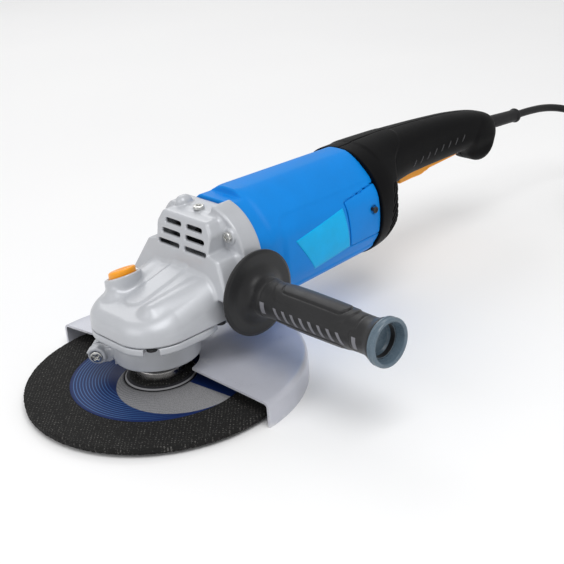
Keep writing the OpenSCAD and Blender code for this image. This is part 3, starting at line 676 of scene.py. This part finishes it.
def gear_case(x, y, z):
    """Cast head with its vent block, collar, screw seats and bosses, and the rooms inside."""
    ay = np.abs(y)
    body = head_plan(x, y, back=70) + 0.05 * np.maximum(z - SEAM_Z, 0)
    pad = np.hypot(np.maximum(np.maximum(-13 - x, x - 33), 0), y) - 10
    crown = 87.6 + 0.25 * x + 1.2 * soft_mask(pad, 2.0) - 0.0016 * y * y
    body = rmax(body, (z - crown) * 0.97, 8 + 7 * np.clip((x + 38) / 30, 0, 1))
    body = rmax(rmax(body, slab(x, -46, 62), 1), SEAM_Z + 0.25 - z, 0.9)
    body = rmin(body, capsule(x, ay, z, (-17, 24, 77.6), (66, 32, 87.0), 10, 11), 4)
    body = rmin(body, vent_block(x, y, z), 3)
    collar = rmax(round_box(y, z, 0, BODY_Z, 54.4, 54.4, 44), slab(x, 58, 78), 2.2)
    body = rmin(body, collar, 4)
    # seat of the top screw, with a knob on the far side
    step = -13 - y - 0.32 * np.clip(z - 139, 0, 8) - 4 * soft_mask(57 - x, 3)
    seat = rmax(step, 138.4 - z, 1)
    body = rcut(body, seat, 1.6)
    body = rmin(body, capsule(x, y, z, (61, 22.5, 138.6), (64, 22.5, 138.6), 6.2), 1.5)
    # seats of the upper and lower screws that hold the motor housing
    pocket = convex(ay, z, [(33, 112), (62, 106), (62, 124), (35, 137)], 2)
    body = rcut(body, rmax(pocket, slab(x, 30, 58.2), 2), 1.4)
    body = rmin(body, rmax(np.hypot(ay - UPPER_SCREW[1], z - UPPER_SCREW[2]) - 6.8, slab(x, 56.6, 63), 0.8), 1.0)
    body = rmin(body, rmax(np.hypot(ay - LOWER_SCREW[1], z - LOWER_SCREW[2]) - 7, slab(x, 52, 60), 1), 2)
    # bosses for the side handle, one each side
    body = rmin(body, rmax(np.hypot(x - GRIP_X, z - GRIP_Z) - 14, ay - 60, 1.2), 5)
    lock = np.hypot(x - BOSS_AT[0], y - BOSS_AT[1])
    tower = rmax(rmax(lock - 15.6, slanted(y, z, 93.6), 1.2), 70 - z, 1)
    shell = rmin(body, tower, 3)
    low = np.where(x < 53, SEAM_Z + 0.25, 30.0)
    body = rmax(rmax(shell, low - z, 0.9), x - 78, 0.9)
    # hollow with an even wall, and a web that carries the armature's front bearing
    room = rmax(shell + 4.0, -slab(x, 48, 57), 1)
    r = np.hypot(x, y)
    room = np.minimum(room, rmax(r - 37.8, z - 77.3 + 0.26 * (r - 28), 1))
    room = np.minimum(room, rmax(vent_block(x, y, z, 3.4, 2), 102 - z, 1))
    room = np.minimum(room, rmax(head_plan(x, y, 5, 46), z - 66, 2))
    room = np.minimum(room, rmax(round_box(y, z, 0, BODY_Z, 50.2, 50.2, 40), 70 - x, 1))
    body = rcut(body, np.maximum(room, shell + 2.6), 0.7)
    for level, reach in SLOT_ROWS:
        s = round_box(ay, z, (3.2 + reach) / 2, level + 2, (reach - 3.2) / 2, 2.1, 1.6)
        body = rcut(body, rmax(s, x - 50, 0.5), 0.7)
    body = rcut(body, rmax(lock - 12.1, 81 - z, 0.5), 0.8)
    body = rcut(body, rmax(np.hypot(x - GRIP_X, z - GRIP_Z) - 7.1, 46 - ay, 0.3), 0.8)
    return rcut(body, rmax(np.hypot(y, z - SHAFT_Z) - 17.6, slab(x, 40, 60), 0.5), 0.5)


def bearing_flange(x, y, z):
    """Plate under the head with a neck for the guard, and notches for its screws."""
    d = head_plan(x, y, back=48)
    foot = np.maximum(52 + 1.6 - z, 0) * 0.25
    d = rmax(d + foot, slab(z, 52, SEAM_Z - 0.25), 0.9)
    d = rmin(d, rmax(np.hypot(x, y) - 33, slab(z, 30, 54), 0.8), 0.6)
    for sx, sy in FLANGE_SCREWS:
        far = 1 + 16 / math.hypot(sx, sy)
        out = capsule(x, y, 0 * z, (sx, sy, 0), (sx * far, sy * far, 0), 6.4)
        d = rcut(d, rmax(out, z - 58.2, 0.5), 0.6)
    bore = np.where(z < 38, 17.0, 20.0)
    return rcut(d, np.hypot(x, y) - bore, 0.5)


def clamp_band(x, y, z):
    """Split ring that grips the flange's neck, with two lugs and a hood for the screw's head."""
    r = np.hypot(x, y)
    band = rmax(r - 37 + 0.03 * np.maximum(40 - z, 0), slab(z, 30, 51), 1.6)
    u = x * math.cos(CLAMP_ANGLE) + y * math.sin(CLAMP_ANGLE)
    v = -x * math.sin(CLAMP_ANGLE) + y * math.cos(CLAMP_ANGLE)
    screw = np.hypot(u - CLAMP_R, z - CLAMP_Z)
    lug = rmax(round_box(u, z, 46, 31.5, 11, 6.6, 5.5), slab(v, -9, 9), 1.5)
    eye = rmax(screw - 7.9, slab(v, -9, 9), 1.0)
    hood = rmax(np.hypot(u - CLAMP_R, z - 31.5) - 8.6, slab(v, 5, 12.6), 0.8)
    hood = rmax(hood, 31.5 - z - 0.4 * (CLAMP_R - u), 1.0)
    band = rmin(band, rmin(rmin(lug, eye, 2), hood, 1.2), 4)
    d = rcut(band, r - 33.05, 0.3)
    d = rcut(d, rmax(np.abs(v) - 1.5, 33 - u, 0.3), 0.6)
    d = rcut(d, rmax(screw - 5.9, HOOD_OUT - v, 0.3), 0.5)
    return rcut(d, screw - 3.1, 0.4)


def lock_button(x, y, z):
    """Round button with a slanted, slightly domed top and three finger grooves."""
    r = np.hypot(x - BOSS_AT[0], y - BOSS_AT[1])
    top = slanted(y, z, 99.4)
    along = x - BOSS_AT[0]
    d = rmax(r - 11.6, top + 0.004 * r * r, 1.6)
    groove = np.minimum(np.abs(along - 3.2), np.abs(along + 3.2)) - 0.5
    groove = np.minimum(groove, np.abs(along) - 0.5)
    d = rcut(d, np.maximum(np.maximum(groove, -0.9 - top), r - 8), 0.4)
    return rmax(d, 88.2 - z, 0.5)


def make_screw(name, body, node, places, look=None, step=0.3):
    """Cross-head screws: places are (point under the head, way out, head radius, head height)."""
    verts, faces = [], []
    base = 0
    for at, way, head_r, head_h in places:
        def field(x, y, z):
            r = np.hypot(x, y)
            d = rmax(r - head_r, z - head_h + 0.07 * r * r / head_r, 0.5)
            d = rmax(d, -3.0 - z, 0.3)
            narrow, wide = 0.16 * head_r, 0.62 * head_r
            arms = np.minimum(np.maximum(np.abs(x) - narrow, np.abs(y) - wide),
                              np.maximum(np.abs(y) - narrow, np.abs(x) - wide))
            bowl = r - 0.34 * head_r
            d = rcut(d, np.maximum(rmin(arms, bowl, 0.2), head_h * 0.35 - z), 0.15)
            shank = rmax(r - head_r * 0.5, slab(z, -6.0, 0.5), 0.3)
            return np.minimum(rmax(d, -z, 0.3), shank)
        v, f = net(field, (-head_r, -head_r, -6), (head_r, head_r, head_h), step, 2)
        turn = Vector((0, 0, 1)).rotation_difference(Vector(way)).to_matrix()
        v = v @ np.array(turn).T + np.array(at)
        verts.append(v)
        faces.append(f + base)
        base += len(v)
    me = mesh_from(name, np.concatenate(verts) * MM, np.concatenate(faces).tolist())
    add_object(name, me, body, (node,), "zinc_steel", look)


# ---- guard
GUARD_R, GUARD_TOP, GUARD_BEND = 124.5, 22.0, 5.0
GUARD_FROM, GUARD_TO = math.radians(-86.2), math.radians(95.4)
GUARD_STEPS, PLATE_STEPS = 150, 10


def make_guard():
    """Plate over the disc's rear half, bent down into a skirt, with a riser around the neck."""
    def inner(a):
        """Inner radius of the plate: a round neck with straight edges at both ends."""
        r = 34.0
        c, s = math.cos(a), math.sin(a)
        if a < 0 and c > 1e-6:
            r = max(r, 8 / c)
        if a > 0 and c + 0.151 * s > 1e-6:
            r = max(r, 6.378 / (c + 0.151 * s))
        return min(r, 119.0)

    flat_r = GUARD_R - GUARD_BEND
    arc = [(flat_r + GUARD_BEND * math.sin(t), GUARD_TOP - GUARD_BEND + GUARD_BEND * math.cos(t))
           for t in np.linspace(0, math.pi / 2, 7)]
    verts = []
    for k in range(GUARD_STEPS + 1):
        a = GUARD_FROM + (GUARD_TO - GUARD_FROM) * k / GUARD_STEPS
        r0 = inner(a)
        row = [(r0 + (flat_r - r0) * i / PLATE_STEPS, GUARD_TOP) for i in range(PLATE_STEPS)] + arc
        row += [(GUARD_R, z) for z in (11.0, 5.0, 0.0)]
        verts += [(r * math.cos(a), r * math.sin(a), z) for r, z in row]
    me = mesh_from("guard_shell", np.array(verts) * MM, grid(GUARD_STEPS + 1, len(row)))
    ob = add_object("guard_shell", me, "guard", ("guard",), "guard_paint")
    thicken(ob, 2.0)
    bevel(ob, 0.5, 40)

    def riser(x, y, z):
        ring = rmax(np.abs(np.hypot(x, y) - 35.5) - 1.5, slab(z, 20.5, 29.6), 0.4)
        return rmax(ring, 8 - 0.5 * x - 0.866 * y, 0.4)

    carve("guard_riser", riser, (-26, -24, 20), (38, 38, 30), 0.7, "guard", (), "guard_paint")


# ---- disc
DISC_STEPS, WEAVE = 420, 4.4
HUB_TOP = [(24, 13.5), (30, 9.0)]
HUB_UNDER = [(22, 7.5), (28, 3.0)]
DISC_EDGE = [(114.6, 8.7), (115.0, 8.0), (115.0, 6.0), (115.0, 4.0), (114.6, 3.3), (113.8, 3.0)]


def make_disc():
    """Reinforced abrasive disc with a woven relief, its label ring and clamping parts."""
    top = [*np.linspace(11.3, 22, 6), 24, 25.5, 27, 28.5, 30, *np.linspace(30.8, 113.8, 64)]
    under = [*np.linspace(113, 28, 24), 25, 22, 11.3]
    rows = ([(r, np.interp(r, *zip(*HUB_TOP))) for r in top] + DISC_EDGE
            + [(r, np.interp(r, *zip(*HUB_UNDER))) for r in under])
    rng = np.random.default_rng(11)
    ang = np.arange(DISC_STEPS) * 2 * math.pi / DISC_STEPS
    r, z = (np.array(column)[:, None] * np.ones(DISC_STEPS) for column in zip(*rows))
    x, y = r * np.cos(ang), r * np.sin(ang)
    weave = np.sin(x * 2 * math.pi / WEAVE) * np.sin(y * 2 * math.pi / WEAVE)
    rough = rng.normal(0, 1, r.shape)
    face = (r > 31) & (r < 114.2)
    z = z + np.where(face & (z > 6), 0.10 * weave + 0.05 * rough - 0.1, 0.0)
    z = z - np.where(face & (z < 6), 0.05 * rough - 0.05, 0.0)
    r = r - np.where(r > 114.3, np.abs(rough) * 0.35, 0)
    x, y = r * np.cos(ang), r * np.sin(ang)
    verts = np.stack([x, y, z], -1).reshape(-1, 3)
    faces = grid(len(rows), DISC_STEPS, True, True)
    me = mesh_from("abrasive_disc", verts * MM, [f[::-1] for f in faces])
    add_object("abrasive_disc", me, "spindle", ("grinding_disc",), "abrasive")
    middle = (0, 0, 0)
    lathe("label_ring",
          [(31.2, 8.9)] + [(r, 9.28) for r in np.linspace(31.4, 76.4, 24)] + [(76.7, 9.1), (76.7, 8.9)],
          middle, Z_UP, 160, 0, "spindle", ("disc_label",), "disc_print")
    lathe("hub_ring", [(19.1, 13.4), (19.1, 14.0), (29.2, 10.6), (30.6, 9.4), (30.4, 9.0), (24, 13.3)],
          middle, Z_UP, 160, 0.2, "spindle", (), "disc_print", "hub_print")
    lathe("clamping_flange",
          [(8.6, 13.6), (20.2, 13.6), (20.2, 19.4), (19.2, 20.4), (17.2, 20.8), (16.8, 21.6), (16.8, 27.2),
           (15.8, 28.4), (8.6, 28.4)],
          middle, Z_UP, 128, 0.35, "spindle", ("disc_flange",), "machined_steel")


def lock_nut(x, y, z):
    """Round nut with four holes for its pin wrench."""
    r = np.hypot(x, y)
    d = rmax(r - 20, slab(z, 4.6, 7.4), 0.5)
    d = rmin(d, rmax(r - 14, slab(z, 2.5, 6), 0.4), 0.6)
    for k in range(4):
        a = math.radians(45 + 90 * k)
        hole = np.hypot(x - 17.2 * math.cos(a), y - 17.2 * math.sin(a)) - 2.5
        d = rcut(d, np.maximum(hole, z - 6.6), 0.3)
    return rcut(d, r - 7.05, 0.4)


def baffle(x, y, z):
    """Plate that guides the air from the fan, behind the gear case."""
    d = rmax(round_box(y, z, 0, BODY_Z, 49.8, 49.8, 40), slab(x, 75.6, 77.7), 0.3)
    d = rmax(rmax(d, z - 134.4, 0.3), 32.2 - np.hypot(y, z - SHAFT_Z), 0.4)
    holes = np.minimum(np.hypot(np.abs(y) - 35, z - 121), np.hypot(np.abs(y) - 35, z - 52)) - 6.4
    return rcut(d, holes, 0.3)


# ---- motor housing
def housing_outer(x, y, z):
    """Tapering barrel with flat sides, sloped shoulders and a raised panel on each side."""
    h = z - BODY_Z
    r = 56 - 4 * (x - 78) / 150
    arc = np.arctan2(h, np.abs(y)) * 54
    panel = soft_mask(round_box(x, arc, 176, -2, 70, 37, 11), 2.2)
    d = np.hypot(y, h) - r + 1.2 * panel
    flat = np.abs(y) - (r - 2.3) + 3 * (1 - smooth_step(x, 104, 110))
    d = rmax(d, flat, 5)
    shoulder = (np.abs(y) * 0.70 + h * 0.714) - (r - 1.5) + 3 * (1 - smooth_step(x, 92, 100))
    d = rmax(d, shoulder, 8)
    # a low saddle on top of the front end, behind the gear case
    return rmax(d, h - (r - 6.8) - 7 * smooth_step(x, 90.3, 92.3), 1.5)


COVER = [(184, 114), (188.3, 71), (240, 71), (240, 119.5)]  # outline of a brush cover, in x and z
COVER_SCREW = (219, 97)


def cover_region(x, y, z, grow=0.0):
    return rmax(convex(x, z, COVER, 2.0), 20 - np.abs(y), 1) - grow


def motor_housing(x, y, z):
    """Thin housing with seats for the brush covers, a rear web and a holder for the stator."""
    solid = housing_outer(x, y, z)
    d = rmax(solid, slab(x, 78.2, 228), 0.7)
    roof = (z - BODY_Z) - 42.5 - 10 * smooth_step(x, 95, 99)
    d = rcut(d, rmax(solid + 3.9, roof, 1), 0.5)
    d = rcut(d, np.maximum(cover_region(x, y, z, 0.35), -1.6 - solid), 0.4)
    web = rmax(np.abs(x - 209.5) - 1.5, np.hypot(y, z - SHAFT_Z) - 60, 0.3)
    web = rcut(np.maximum(web, solid + 2), np.hypot(y, z - SHAFT_Z) - 13.1, 0.4)
    hold = rmax(np.abs(x - 136) - 24, np.abs(np.hypot(y, z - SHAFT_Z) - 43) - 3.2, 0.6)
    hold = np.maximum(hold, solid + 2)
    d = np.minimum(np.minimum(d, web), hold)
    return rcut(d, np.hypot(x - COVER_SCREW[0], z - COVER_SCREW[1]) - 1.7, 0.3)


def brush_covers(x, y, z):
    solid = housing_outer(x, y, z)
    d = rmax(rmax(solid - 0.25, -1.5 - solid, 0.3), cover_region(x, y, z, -0.6), 0.5)
    d = rmax(d, x - 227.6, 0.4)
    d = rcut(d, round_box(x, z, 206, 117.5, 4, 2.3, 1), 0.4)
    return rcut(d, np.hypot(x - COVER_SCREW[0], z - COVER_SCREW[1]) - 3.9, 0.5)


def on_surface(field, x, z, side):
    """y where the field's surface is met from outside, at each x and z."""
    far, near = np.full(x.shape, 70.0), np.full(x.shape, 5.0)
    for _ in range(40):
        mid = (far + near) / 2
        out = field(x, side * mid, z) > 0
        far, near = np.where(out, mid, far), np.where(out, near, mid)
    return side * far


def make_film():
    """Thin plain label on the housing's right side, inside four corners given as (x, z)."""
    side, nu, nv = -1, 40, 24
    u, v = np.meshgrid(np.linspace(0, 1, nu), np.linspace(0, 1, nv), indexing="ij")
    c = np.array([(118.5, 101), (180, 110.6), (187, 71.8), (143.4, 65)])
    p = ((1 - u) * (1 - v))[..., None] * c[0] + (u * (1 - v))[..., None] * c[1] \
        + (u * v)[..., None] * c[2] + ((1 - u) * v)[..., None] * c[3]
    y = on_surface(housing_outer, p[..., 0], p[..., 1], side) + side * 0.25
    verts = np.stack([p[..., 0], y, p[..., 1]], -1).reshape(-1, 3)
    me = mesh_from("side_film", verts * MM, grid(nu, nv))
    face_outwards(me, side)
    thicken(add_object("side_film", me, "root", (), "blue_plastic", "sticker_film"), 0.35)


# ---- rear handle
BELL = [(222, 40, 144, 104), (236, 40.5, 144, 104), (247, 42, 144, 101), (255, 44, 144, 95),
        (263, 48, 144, 88), (272, 57, 143.8, 77), (284, 70, 143.6, 66), (296, 84, 143, 56)]
BELL_END = [(40, 268), (58, 266), (72, 261), (84, 257), (97, 256.5), (110, 260), (120, 265), (129, 273),
            (137, 288), (146, 300)]
GRIP = [(240, 84, 144, 72), (262, 88, 144, 64), (285, 93, 143.6, 58), (305, 95, 142.6, 53), (335, 94.4, 140.6, 47),
        (360, 93.6, 138.4, 43.5), (385, 93, 135.8, 41.5), (410, 93, 131.8, 40.5), (430, 93, 127.5, 39),
        (445, 96, 122, 33), (455, 100, 117, 26)]
SLOTTED = [(241, 60), (275, 60), (275, 112), (250, 112), (243, 92)]
TRIGGER = [[(300.5, 97), (300.5, 87.8), (335, 87.8), (344, 91.2), (344, 97)],
           [(340, 97), (340, 90.6), (389.5, 92.6), (389.5, 97)]]


def blurred(t, table, blur):
    """Value at t of a table, with its corners smoothed over a length of blur on each side."""
    return sum(lookup(t + k * blur, table) for k in (-1, -0.5, 0, 0.5, 1)) / 5


def lofted(x, y, z, stations, power, blur):
    """Body whose sections are rounded ovals: stations are (x, bottom, top, width)."""
    low, high, wide = (blurred(x, [(s[0], s[k]) for s in stations], blur) for k in (1, 2, 3))
    wide, tall = wide / 2, (high - low) / 2
    q = (np.abs(y / wide) ** power + np.abs((z - low - tall) / tall) ** power + 1e-9) ** (1 / power)
    return (q - 1) * np.minimum(wide, tall)


def handle_outer(x, y, z):
    """Bell with air slots behind the housing, the grip, and the lobe at its lower end."""
    bell = rmax(lofted(x, y, z, BELL, 2.15, 4), x - lookup(z, BELL_END), 3)
    # slanted air slots on the lower sides of the bell
    w = np.mod(z - 1.1 * (x - 250), 7.0) - 3.5
    slots = rmax(np.abs(w) / 1.3 - 1.25, convex(x, z, SLOTTED, 3), 1)
    bell = rcut(bell, np.maximum(slots, -2.2 - bell), 0.7)
    grip = rmax(lofted(x, y, z, GRIP, 2.5, 7), x - 450, 9)
    lobe = rmax(np.hypot(x - 426, z - 99) - 21.8, np.abs(y) - 17.5, 9)
    d = rmax(rmin(grip, lobe, 6), 246 - x, 1)
    return rmin(rmax(bell, 228.3 - x, 0.7), d, 3)


HANDLE_SCREWS = [(300, 18.5, 134), (360, 13.5, 131), (426, 12.5, 88)]
SLEEVE_WAY = (-0.9962, 0, 0.0872)  # from the cord's exit into the handle


def handle_shell(x, y, z, side):
    """Hollow half of the handle, with the trigger's mouth, the cord's hole and screw holes."""
    solid = handle_outer(x, y, z)
    d = rcut(solid, solid + 3.2, 0.5)
    mouth = rmax(slab(x, 298.6, 392), np.abs(y) - 10.1, 1)
    d = rcut(d, np.maximum(mouth, slab(z, 60, 104)), 0.7)
    off = (x - CORD_EXIT[0]) * SLEEVE_WAY[2] - (z - CORD_EXIT[2]) * SLEEVE_WAY[0]
    d = rcut(d, np.hypot(off, y) - 7.35, 0.6)
    for at in HANDLE_SCREWS:
        d = rcut(d, np.maximum(np.hypot(x - at[0], z - at[2]) - 3.5, at[1] - 0.5 - y), 0.4)
    return rmax(d, 0.12 - side * y, 0.55)


def trigger_shape(x, y, z):
    paddle, arm = (convex(x, z, outline, 1.6) for outline in TRIGGER)
    d = rmax(rmin(paddle, arm, 3), np.abs(y) - 9.5, 1.8)
    # a shallow finger hollow across the front paddle
    return rcut(d, np.hypot(x - 318, z - 8) - 80.4 + 0.004 * y * y, 1.0)


def make_ribs(name, lines, side, r=0.75):
    """Round ribs half sunk in the handle's side, along lines given as pairs of (x, z)."""
    verts, faces = [], []
    around, along = 8, 9
    for (x0, z0), (x1, z1) in lines:
        t = np.linspace(0, 1, along)
        x, z = x0 + (x1 - x0) * t, z0 + (z1 - z0) * t
        y = on_surface(handle_outer, x, z, side) - side * r * 0.25
        line = np.stack([x, y, z], 1)
        ahead = line[-1] - line[0]
        ahead = ahead / np.linalg.norm(ahead)
        u = np.array([0, side, 0.0]) - ahead * ahead[1] * side
        u /= np.linalg.norm(u)
        v = np.cross(ahead, u)
        base = len(verts)
        for i, c in enumerate(line):
            k = math.sqrt(max(0.05, 1 - (2 * t[i] - 1) ** 6))
            for j in range(around):
                a = 2 * math.pi * j / around
                verts.append(c + r * k * (math.cos(a) * u + math.sin(a) * v))
        rib = grid(along, around, wrap_columns=True)
        rib += [range(around)[::-1], range((along - 1) * around, along * around)]
        faces += [[base + q for q in face] for face in rib]
    me = mesh_from(name, np.array(verts) * MM, faces)
    face_outwards(me)
    # painted highlight: a lighter copy of the black plastic stands in for light on the ribs' crests
    add_object(name, me, "root", (), "black_plastic", "black_plastic_rib_painted_highlight")


# ---- side handle
GRIP_R = [(60, 16), (78, 16.6), (80, 16.2), (84, 15.6), (92, 15.3), (120, 15.8), (150, 15.5), (178, 14.9),
          (186, 14.8), (190, 15.4), (194, 17.2), (196.5, 18.3), (198, 18.4)]


def hexagon(u, v, half_u, v0, v1, r):
    """Long panel from v0 to v1 with pointed ends."""
    mid, half = (v0 + v1) / 2, (v1 - v0) / 2
    box = round_box(u, v, 0, mid, half_u, half, r)
    cut = (np.abs(u) * 0.62 + np.abs(v - mid)) / 1.18 - (half + 0.12 * half_u) / 1.18
    return rmax(box, cut, r)


def grip_radius(s, phi):
    """Outer radius of the rubber grip at distance s along it and angle phi, in degrees."""
    r = blurred(s, GRIP_R, 1.5)
    u = (np.abs(np.mod(phi + 180, 360) - 180) - 90) * math.pi / 180 * 16
    inner = hexagon(u, s, 7.4, 97, 165.5, 1.5)
    r = r + 0.75 * soft_mask(hexagon(u, s, 15.8, 88, 173, 2.5), 0.9)
    r = r + 0.85 * soft_mask(inner, 0.9)
    r = r - 0.7 * soft_mask(np.abs(inner - 0.9) - 0.6, 0.6)
    edge = 180.5 - 4.0 * smooth_step(np.abs(u), 13, 19) - s
    r = r - 0.6 * soft_mask(np.abs(edge) - 0.5, 0.6)
    return r - 0.5 * soft_mask(np.abs(s - 80.3) - 0.4, 0.6)


def side_grip(x, y, z):
    """Rubber grip with its hand guard, a shallow dish with a lip."""
    s, rho = -y, np.hypot(x - GRIP_X, z - GRIP_Z)
    phi = np.degrees(np.arctan2(z - GRIP_Z, x - GRIP_X))
    body = rmax(rho - grip_radius(s, phi), slab(s, 62, 197.6), 0.5)
    dish = 62.6 + 0.045 * (36.5 - rho)
    disc = rmax(np.maximum(dish - 2.0 - s, s - dish - 1.6), rho - 35.2, 1.2)
    disc = rmax(disc, slab(s, 60.6, 66.5), 0.5)
    lip = rmax(rmax(np.maximum(60.7 - s, s - 63.4), rho - 36.5, 0.5), 20 - rho, 1)
    d = rmin(rmin(body, disc, 11), lip, 0.3)
    d = rmax(d, 60.6 - s, 0.3)
    return rcut(d, rho - 13, 0.3)


def inlay(name, bars):
    """Thin raised bars on the side grip: each is (s0, s1, phi0, phi1, slant in mm)."""
    verts, faces = [], []
    n = 12
    for s0, s1, p0, p1, slant in bars:
        top = len(verts)
        for lift in (0.22, -0.5):
            for i in range(n + 1):
                phi = p0 + (p1 - p0) * i / n
                for k in range(4):
                    s = s0 + (s1 - s0) * k / 3 + slant * (i / n - 0.5)
                    r = float(grip_radius(np.array(s), np.array(phi))) + lift
                    a = math.radians(phi)
                    verts.append((GRIP_X + r * math.cos(a), -s, GRIP_Z + r * math.sin(a)))
        m = 4 * (n + 1)
        for i in range(n):
            for k in range(3):
                q = top + i * 4 + k
                faces.append((q, q + 1, q + 5, q + 4))
                faces.append((q + m + 4, q + m + 5, q + m + 1, q + m))
        rim = [i * 4 for i in range(n + 1)] + [n * 4 + k for k in (1, 2, 3)] \
            + [i * 4 + 3 for i in range(n - 1, -1, -1)] + [2, 1]
        for a, b in zip(rim, rim[1:] + rim[:1]):
            faces.append((top + a, top + b, top + b + m, top + a + m))
    me = mesh_from(name, np.array(verts) * MM, faces, smooth=False)
    face_outwards(me)
    add_object(name, me, "root", (), "grey_plastic", "grey_inlay")


# ---- assembly
def finish_cad_nodes():
    """Procedural finishes for the CAD nodes that stay as they are."""
    slots = {s["node"]: s["material_slot"] for s in frame["record"]["subparts"]}
    for name, ob in frame["nodes"].items():
        look = LOOKS[NODE_LOOKS.get(name, slots[name])]
        if not ob.material_slots:
            ob.data.materials.append(look)
        for s in ob.material_slots:
            s.material = look


make_camera()
make_looks()
cord = make_cord()
plug = make_plug()
finish_cad_nodes()

carve("gear_case_shell", gear_case, (-47, -61, 28), (79, 61, 149), 1.12, "root", ("gear_case",), "cast_alloy")
carve("flange_plate", bearing_flange, (-46, -51, 29), (49, 51, 60), 0.9, "root", ("bearing_flange",), "cast_alloy")
carve("clamp_band", clamp_band, (-60, -40, 22), (40, 60, 53), 0.8, "guard", ("guard_clamp_band",), "cast_alloy")
carve("lock_cap", lock_button, (-17, 17, 87), (9, 43, 109), 0.45, "lock_button", ("lock_button",), "orange_plastic")
carve("clamping_nut", lock_nut, (-21, -21, 2), (21, 21, 8), 0.6, "spindle", ("lock_nut",), "zinc_steel",
      "bearing_steel")
make_guard()
make_disc()
way = Vector((-math.sin(CLAMP_ANGLE), math.cos(CLAMP_ANGLE), 0))
at = Vector((math.cos(CLAMP_ANGLE), math.sin(CLAMP_ANGLE), 0)) * CLAMP_R + way * HOOD_OUT
make_screw("guard_screw", "guard", "clamp_screw", [((at.x, at.y, CLAMP_Z), way, 5.0, 3.6)])
make_screw("case_screw_set", "root", "case_screws",
           [((x, side * y, z), (-1, 0, 0), 4.7, 3.2) for side in (-1, 1) for x, y, z in (UPPER_SCREW, LOWER_SCREW)]
           + [(TOP_SCREW, Z_UP, 4.8, 3.0)])
make_screw("flange_screw_set", "root", "flange_screws",
           [((x, y, 57.9), (0, 0, -1), 4.6, 3.6) for x, y in FLANGE_SCREWS], "seal_rubber")
carve("fan_baffle", baffle, (75, -51, 41), (78.3, 51, 135.5), 0.7, "root", ("air_baffle",), "black_plastic")
carve("motor_housing_shell", motor_housing, (77, -57, 35), (229, 57, 149), 1.3, "root", ("motor_housing",),
      "blue_plastic")
carve("brush_cover_pair", brush_covers, (183, -54, 70), (229, 54, 121), 0.8, "root", ("brush_covers",),
      "blue_plastic")
make_film()
make_screw("cover_screw_pair", "root", "cover_screws",
           [((COVER_SCREW[0], side * 50.9, COVER_SCREW[1]), (0, side, 0), 3.1, 1.2) for side in (-1, 1)],
           "seal_rubber", 0.22)
RIB_LINES = [((302.5 + 11.65 * k, 107.3 + 0.6 * min(k, 4)), (307.2 + 11.65 * k, 114.2 + 0.5 * min(k, 4)))
             for k in range(8)]
for side, hand in ((1, "left"), (-1, "right")):
    low, high = (-1, 53) if side > 0 else (-53, 1)
    node = "handle_shell_" + hand
    carve(node + "_moulding", lambda x, y, z: handle_shell(x, y, z, side), (227, low, 38), (451, high, 147), 1.0,
          "root", (node,), "black_plastic")
    make_ribs("grip_ribs_" + hand, RIB_LINES, side)
make_screw("handle_screw_set", "root", "handle_screws", [(at, (0, 1, 0), 3.1, 1.6) for at in HANDLE_SCREWS],
           step=0.25)
carve("trigger_paddle", trigger_shape, (299, -10, 86), (391, 10, 98), 0.6, "trigger", ("trigger",),
      "orange_plastic")
lathe("strain_sleeve",
      [(4.05, 0.4), (6.2, 0.5), (7.3, 1.3), (7.7, 2.8), (7.3, 4.6), (6.5, 5.6), (6.5, 7), (6.62, 20), (6.8, 34),
       (7.0, 48), (7.2, 60.8), (8.2, 61.4), (8.2, 65.5), (4.05, 65.5)],
      CORD_EXIT, SLEEVE_WAY, 64, 0.3, "root", ("strain_relief",), "black_plastic", "cord_rubber")
carve("side_grip_rubber", side_grip, (25, -198, 41), (99, -60, 115), 0.8, "root", ("side_handle_grip",),
      "grip_rubber")
lathe("side_grip_end",
      [(13.2, 197.6), (18.4, 197.6), (19.3, 198.3), (19.4, 200.0), (18.9, 200.4), (18.9, 201.0), (19.5, 201.4),
       (19.5, 203.8), (18.9, 204.9), (17.4, 205), (16.2, 204.2), (15.4, 201), (13.6, 194), (11.6, 191.2),
       (0.02, 190.4), (0.02, 189.2), (13.2, 189.2)],
      (GRIP_X, 0, GRIP_Z), (0, -1, 0), 96, 0.25, "root", ("side_handle_ring",), "grey_plastic")
inlay("grip_end_bars", [(81.8, 86.0, 166, 204, 0.8), (179.5, 183.4, 166, 206, 0.8)])
inlay("grip_slant_bars", [(98 + 9.6 * k, 101 + 9.6 * k, 171, 207, 4.5) for k in range(8)])
make_studio()
